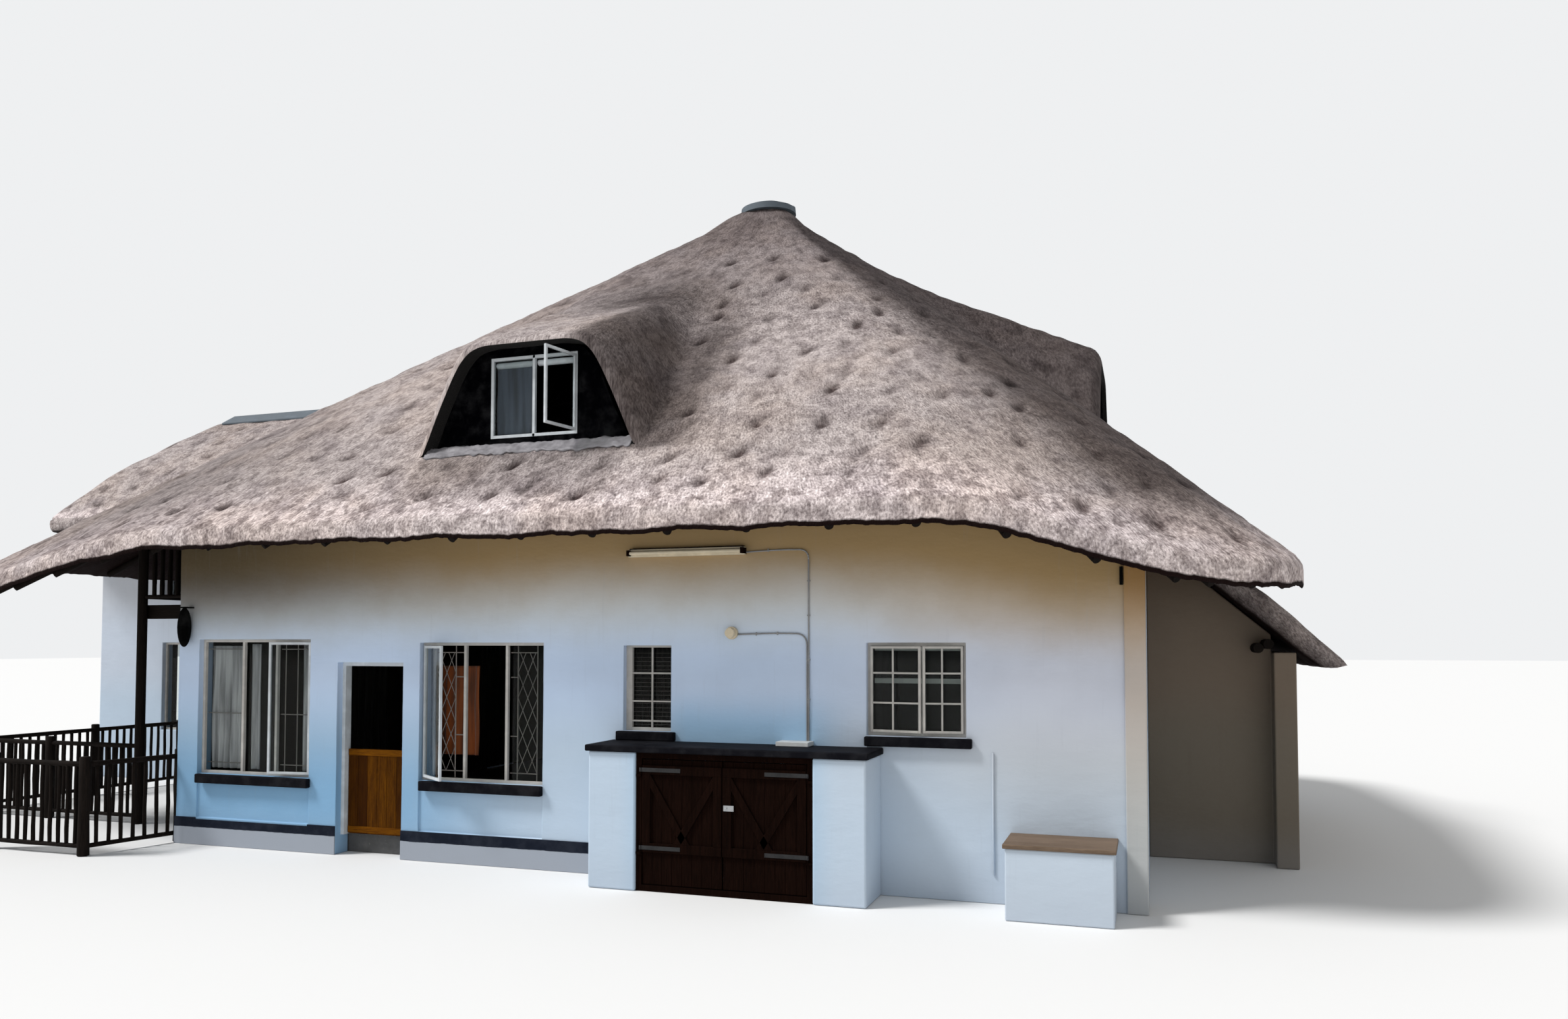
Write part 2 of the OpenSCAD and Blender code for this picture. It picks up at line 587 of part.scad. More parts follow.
module thatch_skin() difference() {
    union() {
        roof_body(1, 0, body_foot);
        at_front_dormer() dormer_outer(dormer_h);
        at_right_dormer() dormer_outer(right_dormer_h);
    }
    roof_body(under_out, thatch_t, body_foot - 100);
    at_front_dormer() dormer_inner(dormer_h);
    at_right_dormer() dormer_inner(right_dormer_h);
    wing_run(0, fit);
    block(wing_x_end - fit, wing_join_x, wing_y0 - fit, wing_y1 + fit, 0, wing_eave_h + 1);
}
module thatch_bay(bay) color(thatch_grey) intersection() {
    linear_extrude(height = apex_h + 1) offset(delta = -fit / 2)
        polygon([[0, 0], for (k = bay) let(a = spokes[k % len(spokes)]) bay_reach * [cos(a), sin(a)]]);
    thatch_skin();
}
module thatch_right() thatch_bay(right_bay);
module thatch_front_right() thatch_bay(front_right_bay);
module thatch_front() thatch_bay(front_bay);
module thatch_left() thatch_bay(left_bay);
module thatch_back_left() thatch_bay(back_left_bay);
module thatch_back_right() thatch_bay(back_right_bay);
module wing_thatch() color(thatch_grey) difference() {
    wing_run(0, 0);
    wing_run(thatch_t, 40);
    roof_body(under_out, thatch_t, body_foot - 100);
}
// Dark cap that closes the thatch at the apex
cap_h = 45;
cap_f = 0.72;
function near_top(a, f, up) = roof_pt(a, ring_t(0, 1), -up) * (1 - f) + roof_pt(a, ring_t(1, 1), -up) * f;
module apex_cap() color(slab_black) ring_loft(concat(
    [for (f = [0, cap_f / 2, cap_f]) [for (a = spokes) near_top(a, f, cap_h * (1.5 - 0.5 * f / cap_f))]],
    [for (f = [cap_f, 0]) [for (a = spokes) near_top(a, f, seat)]]));
ridge_cap_w = 330;
ridge_cap_t = 45;
ridge_cap_stop = 160;
module wing_ridge_cap() color(slab_black) {
    first_half = wing_reach(1 / wing_levels, wing_w / 2 + wing_out);
    low = wing_ridge_h + 1 + fit;
    edge = low - (wing_ridge_h - wing_eave_h) / wing_levels * (ridge_cap_w - wing_top)
        / (first_half - wing_top);
    prism_yz([[wing_y - ridge_cap_w, edge], [wing_y - wing_top, low], [wing_y + wing_top, low],
        [wing_y + ridge_cap_w, edge], [wing_y + ridge_cap_w, edge + ridge_cap_t],
        [wing_y, low + 1.6 * ridge_cap_t], [wing_y - ridge_cap_w, edge + ridge_cap_t]],
        wing_ridge_x - wing_top, -slope_run(eave_left, wing_ridge_h) - ridge_cap_stop);
}

// Rafters that meet a dormer or the wing are trimmed to their tails
function crosses_front_dormer(p) = let(x = front_face_y / tan(p[0]))
    sin(p[0]) < -0.3 && abs(x - front_dormer_x) < dormer_w / 2 + pole_r + 40;
function crosses_right_dormer(p) =
    cos(p[0]) > 0 && abs(right_face_x * tan(p[0]) - right_dormer_y) < dormer_w / 2 + pole_r + 40;
function in_wing(p) = let(y = -wall_left * tan(p[0]))
    cos(p[0]) < 0 && abs(y - wing_y) < wing_w / 2 + 700;
module rafter_poles() color(pole_brown) for (p = poles) {
    from = crosses_front_dormer(p) ? front_face_y / sin(p[0]) + 60
        : crosses_right_dormer(p) ? right_face_x / cos(p[0]) + 60 : p[1];
    to = in_wing(p) ? wall_left / -cos(p[0]) - 80 : p[3];
    if (to > from) rod(rafter_at(p, from), rafter_at(p, to), pole_r);
    if (p == poles[0]) for (q = lean_plates) rod([q[0], lean_y0, q[1]], [q[0], lean_y0 + lean_verge, q[1]],
        lean_plate_r);
}

// Dormer faces: dark boards round the window, standing on the cut edge of the thatch
face_t = 40;
face_slack = 4;
dormer_win = [-450, 680, 90, 1030];
dormer_sash_open = 79;
right_dormer_win = [-500, 500, 60, 760];
module dormer_board(w, h) difference() {
    translate([0, face_t, 0]) rotate([90, 0, 0]) linear_extrude(height = face_t)
        polygon(dormer_arch(-face_slack, 0, fit, h));
    block(w[0], w[1], -1, face_t + 1, w[2], w[3]);
}
module dormer_frame(w) {
    frame_bars(w, [share(w, 0.5)], [], 0, face_t);
    block(w[0] + frame_w, w[1] - frame_w, face_t / 2 - glass_t / 2, face_t / 2 + glass_t / 2,
        w[2] + frame_w, w[3] - frame_w);
}
module front_dormer_face() color(dark) at_front_dormer() dormer_board(dormer_win, dormer_h);
module front_dormer_window() color(frame_white) at_front_dormer() {
    light_x = share(dormer_win, 0.5) + frame_w / 2;
    hinge_side = dormer_win[1] - frame_w;
    z0 = dormer_win[2] + frame_w;
    z1 = dormer_win[3] - frame_w;
    difference() {
        dormer_frame(dormer_win);
        block(light_x, hinge_side, -1, face_t + 1, z0, z1);
    }
    sash(hinge_side, 0, z0, z1, hinge_side - light_x, dormer_sash_open, 1);
}
module right_dormer_face() color(dark) at_right_dormer() {
    dormer_board(right_dormer_win, right_dormer_h);
    dormer_frame(right_dormer_win);
}
flash_d = 74;
flash_t = 3;
module dormer_flashing() color("gray") {
    at_front_dormer() block(-dormer_w / 2 + 30, dormer_w / 2 - 30, -flash_d, -fit, fit, fit + flash_t);
    at_right_dormer() block(-dormer_w / 2 + 30, dormer_w / 2 - 30, -flash_d, -fit, fit, fit + flash_t);
}

// Store in front of the wall: two piers, a dark slab over them and a pair of braced doors
store_x0 = 20;
store_x1 = store_x0 + store_pier_w;
store_x2 = store_x1 + store_open_w;
store_x3 = store_x2 + store_pier_w;
store_y = -wall_front - store_depth;
slab_t = 65;
slab_out = 30;
store_jamb = 60;
store_sill_h = 60;
store_leaf_t = 30;
store_ledge_t = 22;
meet_gap = 11;
store_leaf_w = store_open_w / 2 - store_jamb - gap - meet_gap / 2;
module store_piers() color(plaster) {
    block(store_x0, store_x1, store_y, -wall_front, 0, store_h);
    block(store_x2, store_x3, store_y, -wall_front, 0, store_h);
}
module store_top_slab() color(slab_black)
    block(store_x0 - slab_out, store_x3 + slab_out, store_y - slab_out, -wall_front, store_h,
        store_h + slab_t);
store_frame_y0 = store_y + 30;
store_frame_y1 = store_y + 130;
store_ledge_y = store_frame_y0 - 8;
store_leaf_y = store_ledge_y + store_ledge_t;
module store_door_frame() color(dark) {
    difference() {
        block(store_x1, store_x2, store_frame_y0, store_frame_y1, 0, store_h);
        block(store_x1 + store_jamb, store_x2 - store_jamb, store_frame_y0 - 1, store_frame_y1 + 1,
            store_sill_h, store_h - store_jamb);
    }
    for (hand = [0, 1]) for (z = store_hinges) {
        x = hand == 0 ? store_pin_x : store_x1 + store_x2 - store_pin_x;
        translate([x, store_pin_y, z - 60]) cylinder(h = 120, r = hinge_pin_r, $fn = 24);
        block(hand == 0 ? store_x1 + 5 : x - 4, hand == 0 ? x + 4 : store_x2 - 5, store_pin_y,
            store_frame_y0, z - 60, z - 35);
    }
}
store_leaf_z0 = store_sill_h + 8;
store_leaf_z1 = store_h - store_jamb - 8;
store_pin_x = store_x1 + store_jamb - 8;
store_pin_y = store_frame_y0 - hinge_eye_r - 2;
brace_w = 90;
store_mid = store_leaf_z0 + 320;
store_high = store_leaf_z1 - 150;
store_hinges = [store_mid + brace_w / 2 - 10, store_high + brace_w / 2 - 10];
brace_foot = 130;
module brace(outline) prism_xz(outline, store_ledge_y, store_leaf_y);
module store_leaf() {
    x0 = store_x1 + store_jamb + gap;
    x1 = x0 + store_leaf_w;
    middle = (x0 + x1) / 2;
    y1 = store_leaf_y + store_leaf_t;
    leaf_boards(x0, x1, store_leaf_y, y1, store_leaf_z0, store_leaf_z1, 8, 5);
    block(x0, x1, store_ledge_y, store_leaf_y, store_mid, store_mid + brace_w);
    block(x0, x1, store_ledge_y, store_leaf_y, store_high, store_high + brace_w);
    block(x0, x0 + brace_w, store_ledge_y, store_leaf_y, store_mid + brace_w, store_high);
    block(x1 - brace_w, x1, store_ledge_y, store_leaf_y, store_mid + brace_w, store_high);
    brace([[x0 + brace_w, store_high], [x0 + brace_w, store_high - brace_foot],
        [middle, store_mid + brace_w], [middle + brace_w, store_mid + brace_w]]);
    brace([[x1 - brace_w, store_high - brace_foot], [x1 - brace_w, store_high],
        [middle - brace_w, store_mid + brace_w], [middle, store_mid + brace_w]]);
    for (z = store_hinges) difference() {
        union() {
            translate([store_pin_x, store_pin_y, z - strap_h / 2 + 10])
                cylinder(h = strap_h, r = hinge_eye_r, $fn = 24);
            block(store_pin_x, x0 + 420, store_pin_y, store_ledge_y, z - strap_h / 2 + 10,
                z + strap_h / 2 + 10);
        }
        translate([store_pin_x, store_pin_y, z - 80]) cylinder(h = 160, r = hinge_pin_r + pin_gap, $fn = 24);
    }
}
module store_door_left() color(dark) store_leaf();
module store_door_right() color(dark) translate([store_x1 + store_x2, 0, 0]) mirror([1, 0, 0]) store_leaf();

// Fittings on the front wall: a batten light, a round lamp, surface conduit and a thin pipe
light_x0 = 190;
light_x1 = 1510;
light_z = 3430;
conduit_r = 10;
conduit_x = 2190;
lamp_x = 1360;
lamp_z = 2580;
pipe_x = 4030;
module wall_lights() color("whitesmoke") {
    block(light_x0, light_x1, -wall_front - 60, -wall_front, light_z - 40, light_z + 40);
    translate([0, -wall_front - 85, light_z]) rotate([0, 90, 0]) translate([0, 0, light_x0 + 20])
        cylinder(h = light_x1 - light_x0 - 40, r = 19, $fn = 24);
    for (x = [light_x0, light_x1 - 20]) block(x, x + 20, -wall_front - 105, -wall_front - 60, light_z - 25,
        light_z + 25);
    translate([lamp_x, -wall_front, lamp_z]) rotate([90, 0, 0]) {
        cylinder(h = 40, r = 65, $fn = 48);
        cylinder(h = 95, r = 50, $fn = 48);
    }
}
module conduit_and_pipes() color("whitesmoke") {
    y = -wall_front - conduit_r - fit;
    rod([light_x1, y, light_z], [conduit_x, y, light_z], conduit_r);
    rod([conduit_x, y, light_z], [conduit_x, y, store_h + slab_t + 75], conduit_r);
    rod([lamp_x + 65, y, lamp_z], [conduit_x, y, lamp_z], conduit_r);
    rod([pipe_x, y, 260], [pipe_x, y, 1440], conduit_r);
    block(conduit_x - 260, conduit_x + 180, -wall_front - 260, -wall_front, store_h + slab_t,
        store_h + slab_t + 75);
}
box_x0 = 4210;
box_x1 = 5150;
box_d = 620;
box_h = 640;
module low_box() color(plaster) difference() {
    block(box_x0, box_x1, -wall_front - box_d, -wall_front, 0, box_h);
    block(box_x0 + 100, box_x1 - 100, -wall_front - box_d + 100, -wall_front - 60, 100, box_h + 1);
}
module low_box_lid() color(varnish)
    block(box_x0 - 20, box_x1 + 20, -wall_front - box_d - 20, -wall_front, box_h, box_h + 40);

// Lean-to room on the right under its own falling thatch
lean_y0 = -2500;
lean_verge = 400;
lean_t = 350;
lean_x1 = 7550;
lean_top_z = 4080;
lean_eave_z = 2270;
lean_lip = 60;
lean_heel_x = lean_x1 - 330;
lean_heel_z = 2170;
lean_wall_x = wall_right + lean_to_w;
// Ends of two wall plate poles under the verge, across and up, and their radius
lean_plates = [[6595, 2420], [6700, 2465]];
lean_plate_r = 55;
module lean_to_thatch() color(thatch_grey) prism_xz(
    [[wall_right + fit, lean_top_z], [lean_x1, lean_eave_z], [lean_x1 - lean_lip, lean_heel_z - 10],
     [lean_heel_x, lean_heel_z], [wall_right + fit, lean_top_z - lean_t]], lean_y0, lean_y0 + lean_to_l);
function lean_under(x) = lean_heel_z - fit
    + (lean_heel_x - x) * (lean_top_z - lean_t - lean_heel_z) / (lean_heel_x - wall_right - fit);
module lean_to_walls() color(plaster) {
    y0 = lean_y0 + lean_verge;
    y1 = lean_y0 + lean_to_l - lean_verge;
    x1 = lean_wall_x - wall_t;
    for (y = [y0, y1 - wall_t])
        prism_xz([[wall_right, 0], [x1, 0], [x1, lean_under(x1)], [wall_right, lean_under(wall_right)]],
            y, y + wall_t);
    end_z = lean_under(lean_wall_x);
    prism_xz([[x1, 0], [lean_wall_x, 0], [lean_wall_x, end_z], [x1, end_z]], lean_y0 + 120, y1);
    block(wall_right, x1, y0 + wall_t, y1 - wall_t, 0, floor_h);
}

// Rear left wing walls: they rise to the underside of its thatch
module wing_wall(x0, x1, y0, y1) intersection() {
    block(x0, x1, y0, y1, 0, wing_ridge_h);
    union() {
        wing_run(thatch_t + fit, 40);
        block(x0, x1, y0, y1, 0, wing_eave_h - thatch_t);
    }
}
module wing_long_wall(y0) color(plaster) difference() {
    wing_wall(wing_x_end, -wall_left, y0, y0 + wall_t);
    for (w = wing_wins) block(w[0], w[1], y0 - 1, y0 + wall_t + 1, w[2], w[3]);
}
module wing_front_wall() wing_long_wall(wing_y0);
module wing_back_wall() wing_long_wall(wing_y1 - wall_t);
module wing_end_wall() color(plaster) difference() {
    wing_wall(wing_x_end, wing_x_end + wall_t, wing_y0 + wall_t, wing_y1 - wall_t);
    block(wing_x_end - 1, wing_x_end + wall_t + 1, wing_end_win[0], wing_end_win[1], wing_end_win[2],
        wing_end_win[3]);
}

// Balcony beside the left wall, under the sweep of the roof
balcony_x0 = -wall_left - balcony_w;
balcony_y1 = wing_y - wing_w / 2;
balcony_y0 = balcony_y1 - balcony_l;
rail_top = 900;
module balcony_floor() color(dark) {
    block(balcony_x0, -wall_left, balcony_y0, balcony_y1, loft_h - 45, loft_h);
    for (y = [balcony_y0, (balcony_y0 + balcony_y1) / 2 - 60, balcony_y1 - 120])
        block(balcony_x0, -wall_left, y, y + 120, loft_h - 190, loft_h - 45);
}
side_post_x = balcony_x0 - post_d / 2 - fit;
post_spots = [[balcony_x0 + post_d / 2, balcony_y0 - post_d / 2 - fit],
    [side_post_x, (balcony_y0 + balcony_y1) / 2], [side_post_x, balcony_y1 - 200]];
module balcony_posts() color(dark) for (p = post_spots)
    translate([p.x, p.y, 0]) cylinder(h = under_z(p.x, p.y) - 150, r = post_d / 2, $fn = 32);
// A rail or baluster of few sides, so that a fence stays light
module bar(p, q, r) {
    v = q - p;
    l = norm(v);
    translate(p) rotate([0, acos(v.z / l), atan2(v.y, v.x)]) rotate([0, 0, 22.5])
        cylinder(h = l, r = r, $fn = 8);
}
module rail_run(p, q, z, height, r) {
    n = floor(norm(q - p) / 130);
    bar([p.x, p.y, z + height], [q.x, q.y, z + height], r * 1.4);
    bar([p.x, p.y, z + 110], [q.x, q.y, z + 110], r * 1.2);
    for (k = [1 : n - 1]) let(c = p + (q - p) * k / n)
        translate([c.x, c.y, z + 110]) cylinder(h = height - 110, r = r, $fn = 8);
}
module balcony_rails() color(dark) {
    r = baluster_d / 2;
    rail_run([post_spots[0].x + post_d / 2, post_spots[0].y], [-wall_left - fit, post_spots[0].y], loft_h,
        rail_top, r);
    rail_run([balcony_x0 + 60, post_spots[0].y + post_d / 2], [balcony_x0 + 60, balcony_y1 - fit], loft_h,
        rail_top, r);
}
wall_post = [-wall_left - post_d / 2 - fit, -wall_front + 100];
yard_w = 4850;
yard_gate_w = 1500;
yard_x = -wall_left - yard_w;
yard_y = balcony_y0 - 60;
yard_posts = [[yard_x, wing_y0 - post_d / 2 - fit], [yard_x, (wing_y0 + yard_y) / 2], [yard_x, yard_y],
    [yard_x + yard_gate_w, yard_y]];
front_rail_y = -wall_front - 1000;
front_posts = [[-wall_left - 1770, front_rail_y], [-wall_left - 300, front_rail_y], wall_post];
yard_rail_h = 1060;
yard_post_h = 1150;
module fence(list) {
    for (p = list) translate([p.x, p.y, 0]) cylinder(h = yard_post_h, r = post_d / 2, $fn = 12);
    for (k = [0 : len(list) - 2]) rail_run(list[k], list[k + 1], 0, yard_rail_h, baluster_d / 2);
}
module yard_rails() color(dark) {
    fence(yard_posts);
    rail_run(yard_posts[3], [post_spots[0].x - post_d / 2 - fit, post_spots[0].y], 0, yard_rail_h,
        baluster_d / 2);
}
module terrace_rails() color(dark) fence(front_posts);
// Dark oval lantern on a flat arm at the house's front left corner, and a dark hook beside the pilaster
lantern_r = 90;
lantern_h = 490;
lantern_z = 2670;
lantern_x = -wall_left + 170;
arm_w = 80;
arm_t = 18;
hook_x = wall_right - pilaster_w - 35;
hook_z = 3015;
module wall_lantern() color(dark) {
    translate([lantern_x, -wall_front - lantern_r - fit, lantern_z]) rotate_extrude($fn = 32)
        polygon([for (k = [0 : 12]) let(b = -90 + 15 * k)
            [max(0, lantern_r * cos(b)), lantern_h / 2 * sin(b)]]);
    block(lantern_x - arm_w / 2, lantern_x + arm_w, -wall_front - lantern_r - arm_w / 2, -wall_front,
        lantern_z + lantern_h / 2 - arm_t / 2, lantern_z + lantern_h / 2 + arm_t / 2);
    block(hook_x, hook_x + 30, -wall_front - 35, -wall_front, hook_z, hook_z + 170);
}

floor_slab();
front_wall_left();
front_wall_over_door();
front_wall_right();
left_wall();
right_wall();
back_wall();
corner_pilaster();
wall_skirting();
window_sills();
left_window_frame();
middle_window_frame();
small_window_frame();
right_window_frame();
rear_window_frames();
open_sashes();
window_glass();
door_frame();
stable_door_lower();
stable_door_upper();
loft_floor();
thatch_right();
thatch_front_right();
thatch_front();
thatch_left();
thatch_back_left();
thatch_back_right();
apex_cap();
rafter_poles();
front_dormer_face();
front_dormer_window();
dormer_flashing();
right_dormer_face();
store_piers();
store_top_slab();
store_door_frame();
store_door_left();
store_door_right();
wall_lights();
conduit_and_pipes();
low_box();
low_box_lid();
lean_to_walls();
lean_to_thatch();
wing_front_wall();
wing_back_wall();
wing_end_wall();
wing_thatch();
wing_ridge_cap();
balcony_floor();
balcony_posts();
balcony_rails();
yard_rails();
terrace_rails();
wall_lantern();
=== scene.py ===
# Thatched rondavel house: the looks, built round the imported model
import json
import math
from contextlib import contextmanager

import bmesh
import bpy
import numpy as np
from mathutils import Euler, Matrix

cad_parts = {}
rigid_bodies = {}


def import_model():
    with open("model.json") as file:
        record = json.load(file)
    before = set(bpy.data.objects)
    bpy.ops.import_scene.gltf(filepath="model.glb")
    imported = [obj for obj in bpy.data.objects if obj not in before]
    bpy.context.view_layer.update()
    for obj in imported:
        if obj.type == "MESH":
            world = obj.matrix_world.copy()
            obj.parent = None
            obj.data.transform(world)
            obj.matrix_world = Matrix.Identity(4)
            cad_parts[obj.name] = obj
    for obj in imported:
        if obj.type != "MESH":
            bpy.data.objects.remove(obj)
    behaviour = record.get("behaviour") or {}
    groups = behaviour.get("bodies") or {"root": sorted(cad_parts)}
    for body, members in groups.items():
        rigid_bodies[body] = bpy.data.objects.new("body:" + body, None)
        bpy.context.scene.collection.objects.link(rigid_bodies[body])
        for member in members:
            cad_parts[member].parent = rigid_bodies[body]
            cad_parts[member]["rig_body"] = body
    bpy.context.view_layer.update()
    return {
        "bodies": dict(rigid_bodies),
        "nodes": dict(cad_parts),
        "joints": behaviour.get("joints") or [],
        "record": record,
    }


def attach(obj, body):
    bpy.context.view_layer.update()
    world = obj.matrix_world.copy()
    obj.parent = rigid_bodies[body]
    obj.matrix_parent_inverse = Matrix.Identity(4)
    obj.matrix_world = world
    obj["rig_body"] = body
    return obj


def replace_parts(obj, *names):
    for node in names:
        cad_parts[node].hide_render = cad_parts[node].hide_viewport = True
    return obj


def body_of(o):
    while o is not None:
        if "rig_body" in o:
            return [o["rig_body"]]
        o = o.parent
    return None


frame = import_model()
nodes = frame["nodes"]
print("frame loaded")

camera = {
    "place": (5.48, -15.63, 2.48),  # standing in front, a little to the right of the store
    "turnLeft": 18.5, "tiltUp": 2.2,  # degrees
    "focal": 1666, "imageWidth": 2380, "horizonShift": 138,  # pixels of the photograph
}
studio = {
    "world": 0.50, "floor": (0.78, 0.775, 0.765),
    "suns": {"sun": (3.1, 15, (39, 0, -62)), "fill": (0.15, 60, (60, 0, 50))},  # strength, size and turn in degrees
}


class Wire:
    # one socket of a material, which adds Math nodes when it is used in an expression
    def __init__(self, finish, socket):
        self.finish, self.socket = finish, socket

    def join(self, operation, other, flipped=False):
        pair = {0: other, 1: self} if flipped else {0: self, 1: other}
        return self.finish.node("ShaderNodeMath", {"operation": operation}, pair)

    def __add__(self, other):
        return self.join("ADD", other)

    def __sub__(self, other):
        return self.join("SUBTRACT", other)

    def __rsub__(self, other):
        return self.join("SUBTRACT", other, True)

    def __mul__(self, other):
        return self.join("MULTIPLY", other)

    def __truediv__(self, other):
        return self.join("DIVIDE", other)

    __radd__, __rmul__ = __add__, __mul__


class Finish:
    # a material: its Principled shader, and the nodes that feed it
    def __init__(self, name, **fixed):
        self.name, self.material = name, bpy.data.materials.new(name)
        self.material.use_nodes = True
        self.tree = self.material.node_tree
        self.shader = self.tree.nodes["Principled BSDF"]
        self.feed(self.shader, fixed)

    def feed(self, made, inputs):
        for key, value in inputs.items():
            socket = made.inputs[key]
            if isinstance(value, Wire):
                self.tree.links.new(value.socket, socket)
            elif isinstance(value, (tuple, list)) and len(value) == 3 and len(socket.default_value) == 4:
                socket.default_value = (*value, 1)
            else:
                socket.default_value = value

    def node(self, kind, settings=None, inputs=None, output=0):
        made = self.tree.nodes.new(kind)
        for key, value in (settings or {}).items():
            if key == "stops":
                ramp = made.color_ramp
                while len(ramp.elements) < len(value):
                    ramp.elements.new(0.5)
                for element, (place, colour) in zip(ramp.elements, value):
                    element.position = place
                    element.color = (*colour, 1) if isinstance(colour, tuple) else (colour, colour, colour, 1)
            else:
                setattr(made, key, value)
        self.feed(made, inputs or {})
        return Wire(self, made.outputs[output])

    def place(self, scale):
        # coordinates in metres, stretched
        coords = self.node("ShaderNodeTexCoord", output="Object")
        return self.node("ShaderNodeMapping", {}, {0: coords, "Scale": scale})

    def noise(self, scale, detail=4, rough=0.55, stretch=(1, 1, 1), where=None):
        inputs = {"Vector": where or self.place(stretch), "Scale": scale, "Detail": detail, "Roughness": rough}
        return self.node("ShaderNodeTexNoise", {}, inputs)

    def ramp(self, factor, stops):
        return self.node("ShaderNodeValToRGB", {"stops": stops}, {0: factor})

    def span(self, value, low, high, to0=0.0, to1=1.0):
        # value from low..high to to0..to1, eased at both ends
        return self.node("ShaderNodeMapRange", {"interpolation_type": "SMOOTHSTEP"},
                         {0: value, 1: low, 2: high, 3: to0, 4: to1})

    def mix(self, factor, first, second, blend="MIX"):
        made = self.tree.nodes.new("ShaderNodeMix")
        made.data_type, made.blend_type = "RGBA", blend
        self.feed(made, {})
        for index, value in ((0, factor), (6, first), (7, second)):
            if isinstance(value, Wire):
                self.tree.links.new(value.socket, made.inputs[index])
            else:
                made.inputs[index].default_value = value if index == 0 else (*value, 1)
        return Wire(self, made.outputs[2])

    def bump(self, height, depth, strength=1.0, over=None):
        inputs = {"Height": height, "Distance": depth, "Strength": strength}
        if over is not None:
            inputs["Normal"] = over
        return self.node("ShaderNodeBump", {}, inputs)

    def tinted(self, tone, tints):
        # each tint multiplies the tone where its factor is 1
        for factor, tint in tints:
            tone = self.mix(factor, tone, tint, "MULTIPLY")
        return tone

    def axis(self, index):
        # one coordinate of the object, in metres
        coords = self.node("ShaderNodeTexCoord", output="Object")
        return self.node("ShaderNodeSeparateXYZ", {}, {0: coords}, index)

    def done(self, tone, normal, **inputs):
        self.feed(self.shader, {"Base Color": tone, "Normal": normal, **inputs})
        finishes[self.name] = self.material


finishes = {}


def within(f, x0, x1, y0, y1):
    # 1 inside an upright shaft of the house, 0 outside it
    lip = 0.015
    sides = [f.span(f.axis(index), low, low + lip) * f.span(f.axis(index), high - lip, high, 1, 0)
             for index, low, high in ((0, x0, x1), (1, y0, y1))]
    return sides[0] * sides[1]


def makePlaster(name, colour, dirt, eaves=(0.34, 0.222, 0.092), inner=(0.03, 0.022, 0.015)):
    # limewash, with painted warm, dull shade towards the eaves, painted skylight, reflection and shade tints on the
    # front, damp at the foot, and painted near-black shade on the rooms' side
    f = Finish(name, **{"Roughness": 0.85, "Specular IOR Level": 0.25})
    x, height, front = f.axis(0), f.axis(2), f.span(f.axis(1), -4.3, -4.9)
    blotch, fine = f.noise(0.9, 5, 0.6), f.noise(26, 4, 0.6)
    trowel, streak = f.noise(3.2, 3, 0.5, (1, 1, 2.4)), f.noise(2.6, 5, 0.65, (5, 5, 0.35))
    uneven = height + 0.3 * blotch
    # painted bluish skylight, mixed in low on the wall
    low = tuple(a * b for a, b in zip(colour, (0.82, 0.97, 1.03)))
    tone = f.mix(f.span(blotch, 0.35, 0.7), colour, tuple(0.93 * c for c in colour))
    tone = f.mix(f.span(uneven, 1.4, 2.3, 0.5, 0), tone, low)
    tone = f.tinted(tone, [
        (f.span(uneven, 1.4, 2.2) * front, (1.03, 1.12, 1.24)),  # painted bluish reflected light, paler above the sills
        (f.span(x, 1.5, 4.8) * f.span(height, 0.7, 1.7, 0.35, 1) * front, (1.12, 0.97, 0.86)),  # painted warm reflected light to the right
        # painted warm shade high on the front
        (f.span(uneven, 2.4, 3.1) * front, (1.14, 1.02, 0.84)),
        (f.span(x, -0.4, -3.2) * f.span(height, 2.2, 0.7) * front, (0.44, 0.68, 0.86))])  # painted bluish shade low on the left
    # painted warm-brown shade under the eaves, weaker on the wing beyond the left end
    eaveShade = f.span(uneven + 0.35 * (f.span(x, 2.5, 5.0) * front), 2.68, 3.66) * f.span(x, -6.2, -6.03, 0.2, 0.97)
    tone = f.mix(eaveShade, tone, eaves)
    # painted bluish reflection on the wall over the store
    storeReflection = f.span(x, 0.3, 0.9) * f.span(x, 2.7, 2.1) * f.span(height + 0.2 * blotch, 2.15, 1.65)
    tone = f.tinted(tone, [
        (storeReflection * front * 0.8, (0.6, 0.84, 0.98)),
        (f.span(x, -0.5, -5.8) * f.span(height, 2.3, 3.3) * front, (0.28, 0.3, 0.33)),  # shade under the left eave
        (f.span(x, 5.235, 5.25) * f.span(height, 1.2, 2.6, 0.7, 1.3) * front, (0.9, 0.76, 0.6))])  # painted warm shade on the pilaster, stronger higher up
    tone = f.mix(f.span(height + 0.35 * blotch, 0.15, 0.75, 1, 0) * 0.4 * dirt, tone, (0.34, 0.37, 0.42))
    tone = f.mix(f.span(streak, 0.56, 0.78) * 0.22 * dirt, tone, tuple(0.55 * c for c in colour))
    # painted near-black shade on the rooms' side of the walls, so the rooms look dark through the openings
    rooms = (within(f, -5.86, 5.22, -4.795, 4.8) + within(f, -12.98, -6.02, 0.01, 3.99)
             + within(f, 5.415, 6.77, -1.92, 2.02))
    tone = f.mix(rooms, tone, inner)
    normal = f.bump(fine, 0.0016, 0.6, f.bump(trowel, 0.012, 0.5))
    f.done(tone, normal, Roughness=f.span(fine, 0.3, 0.7, 0.78, 0.92))


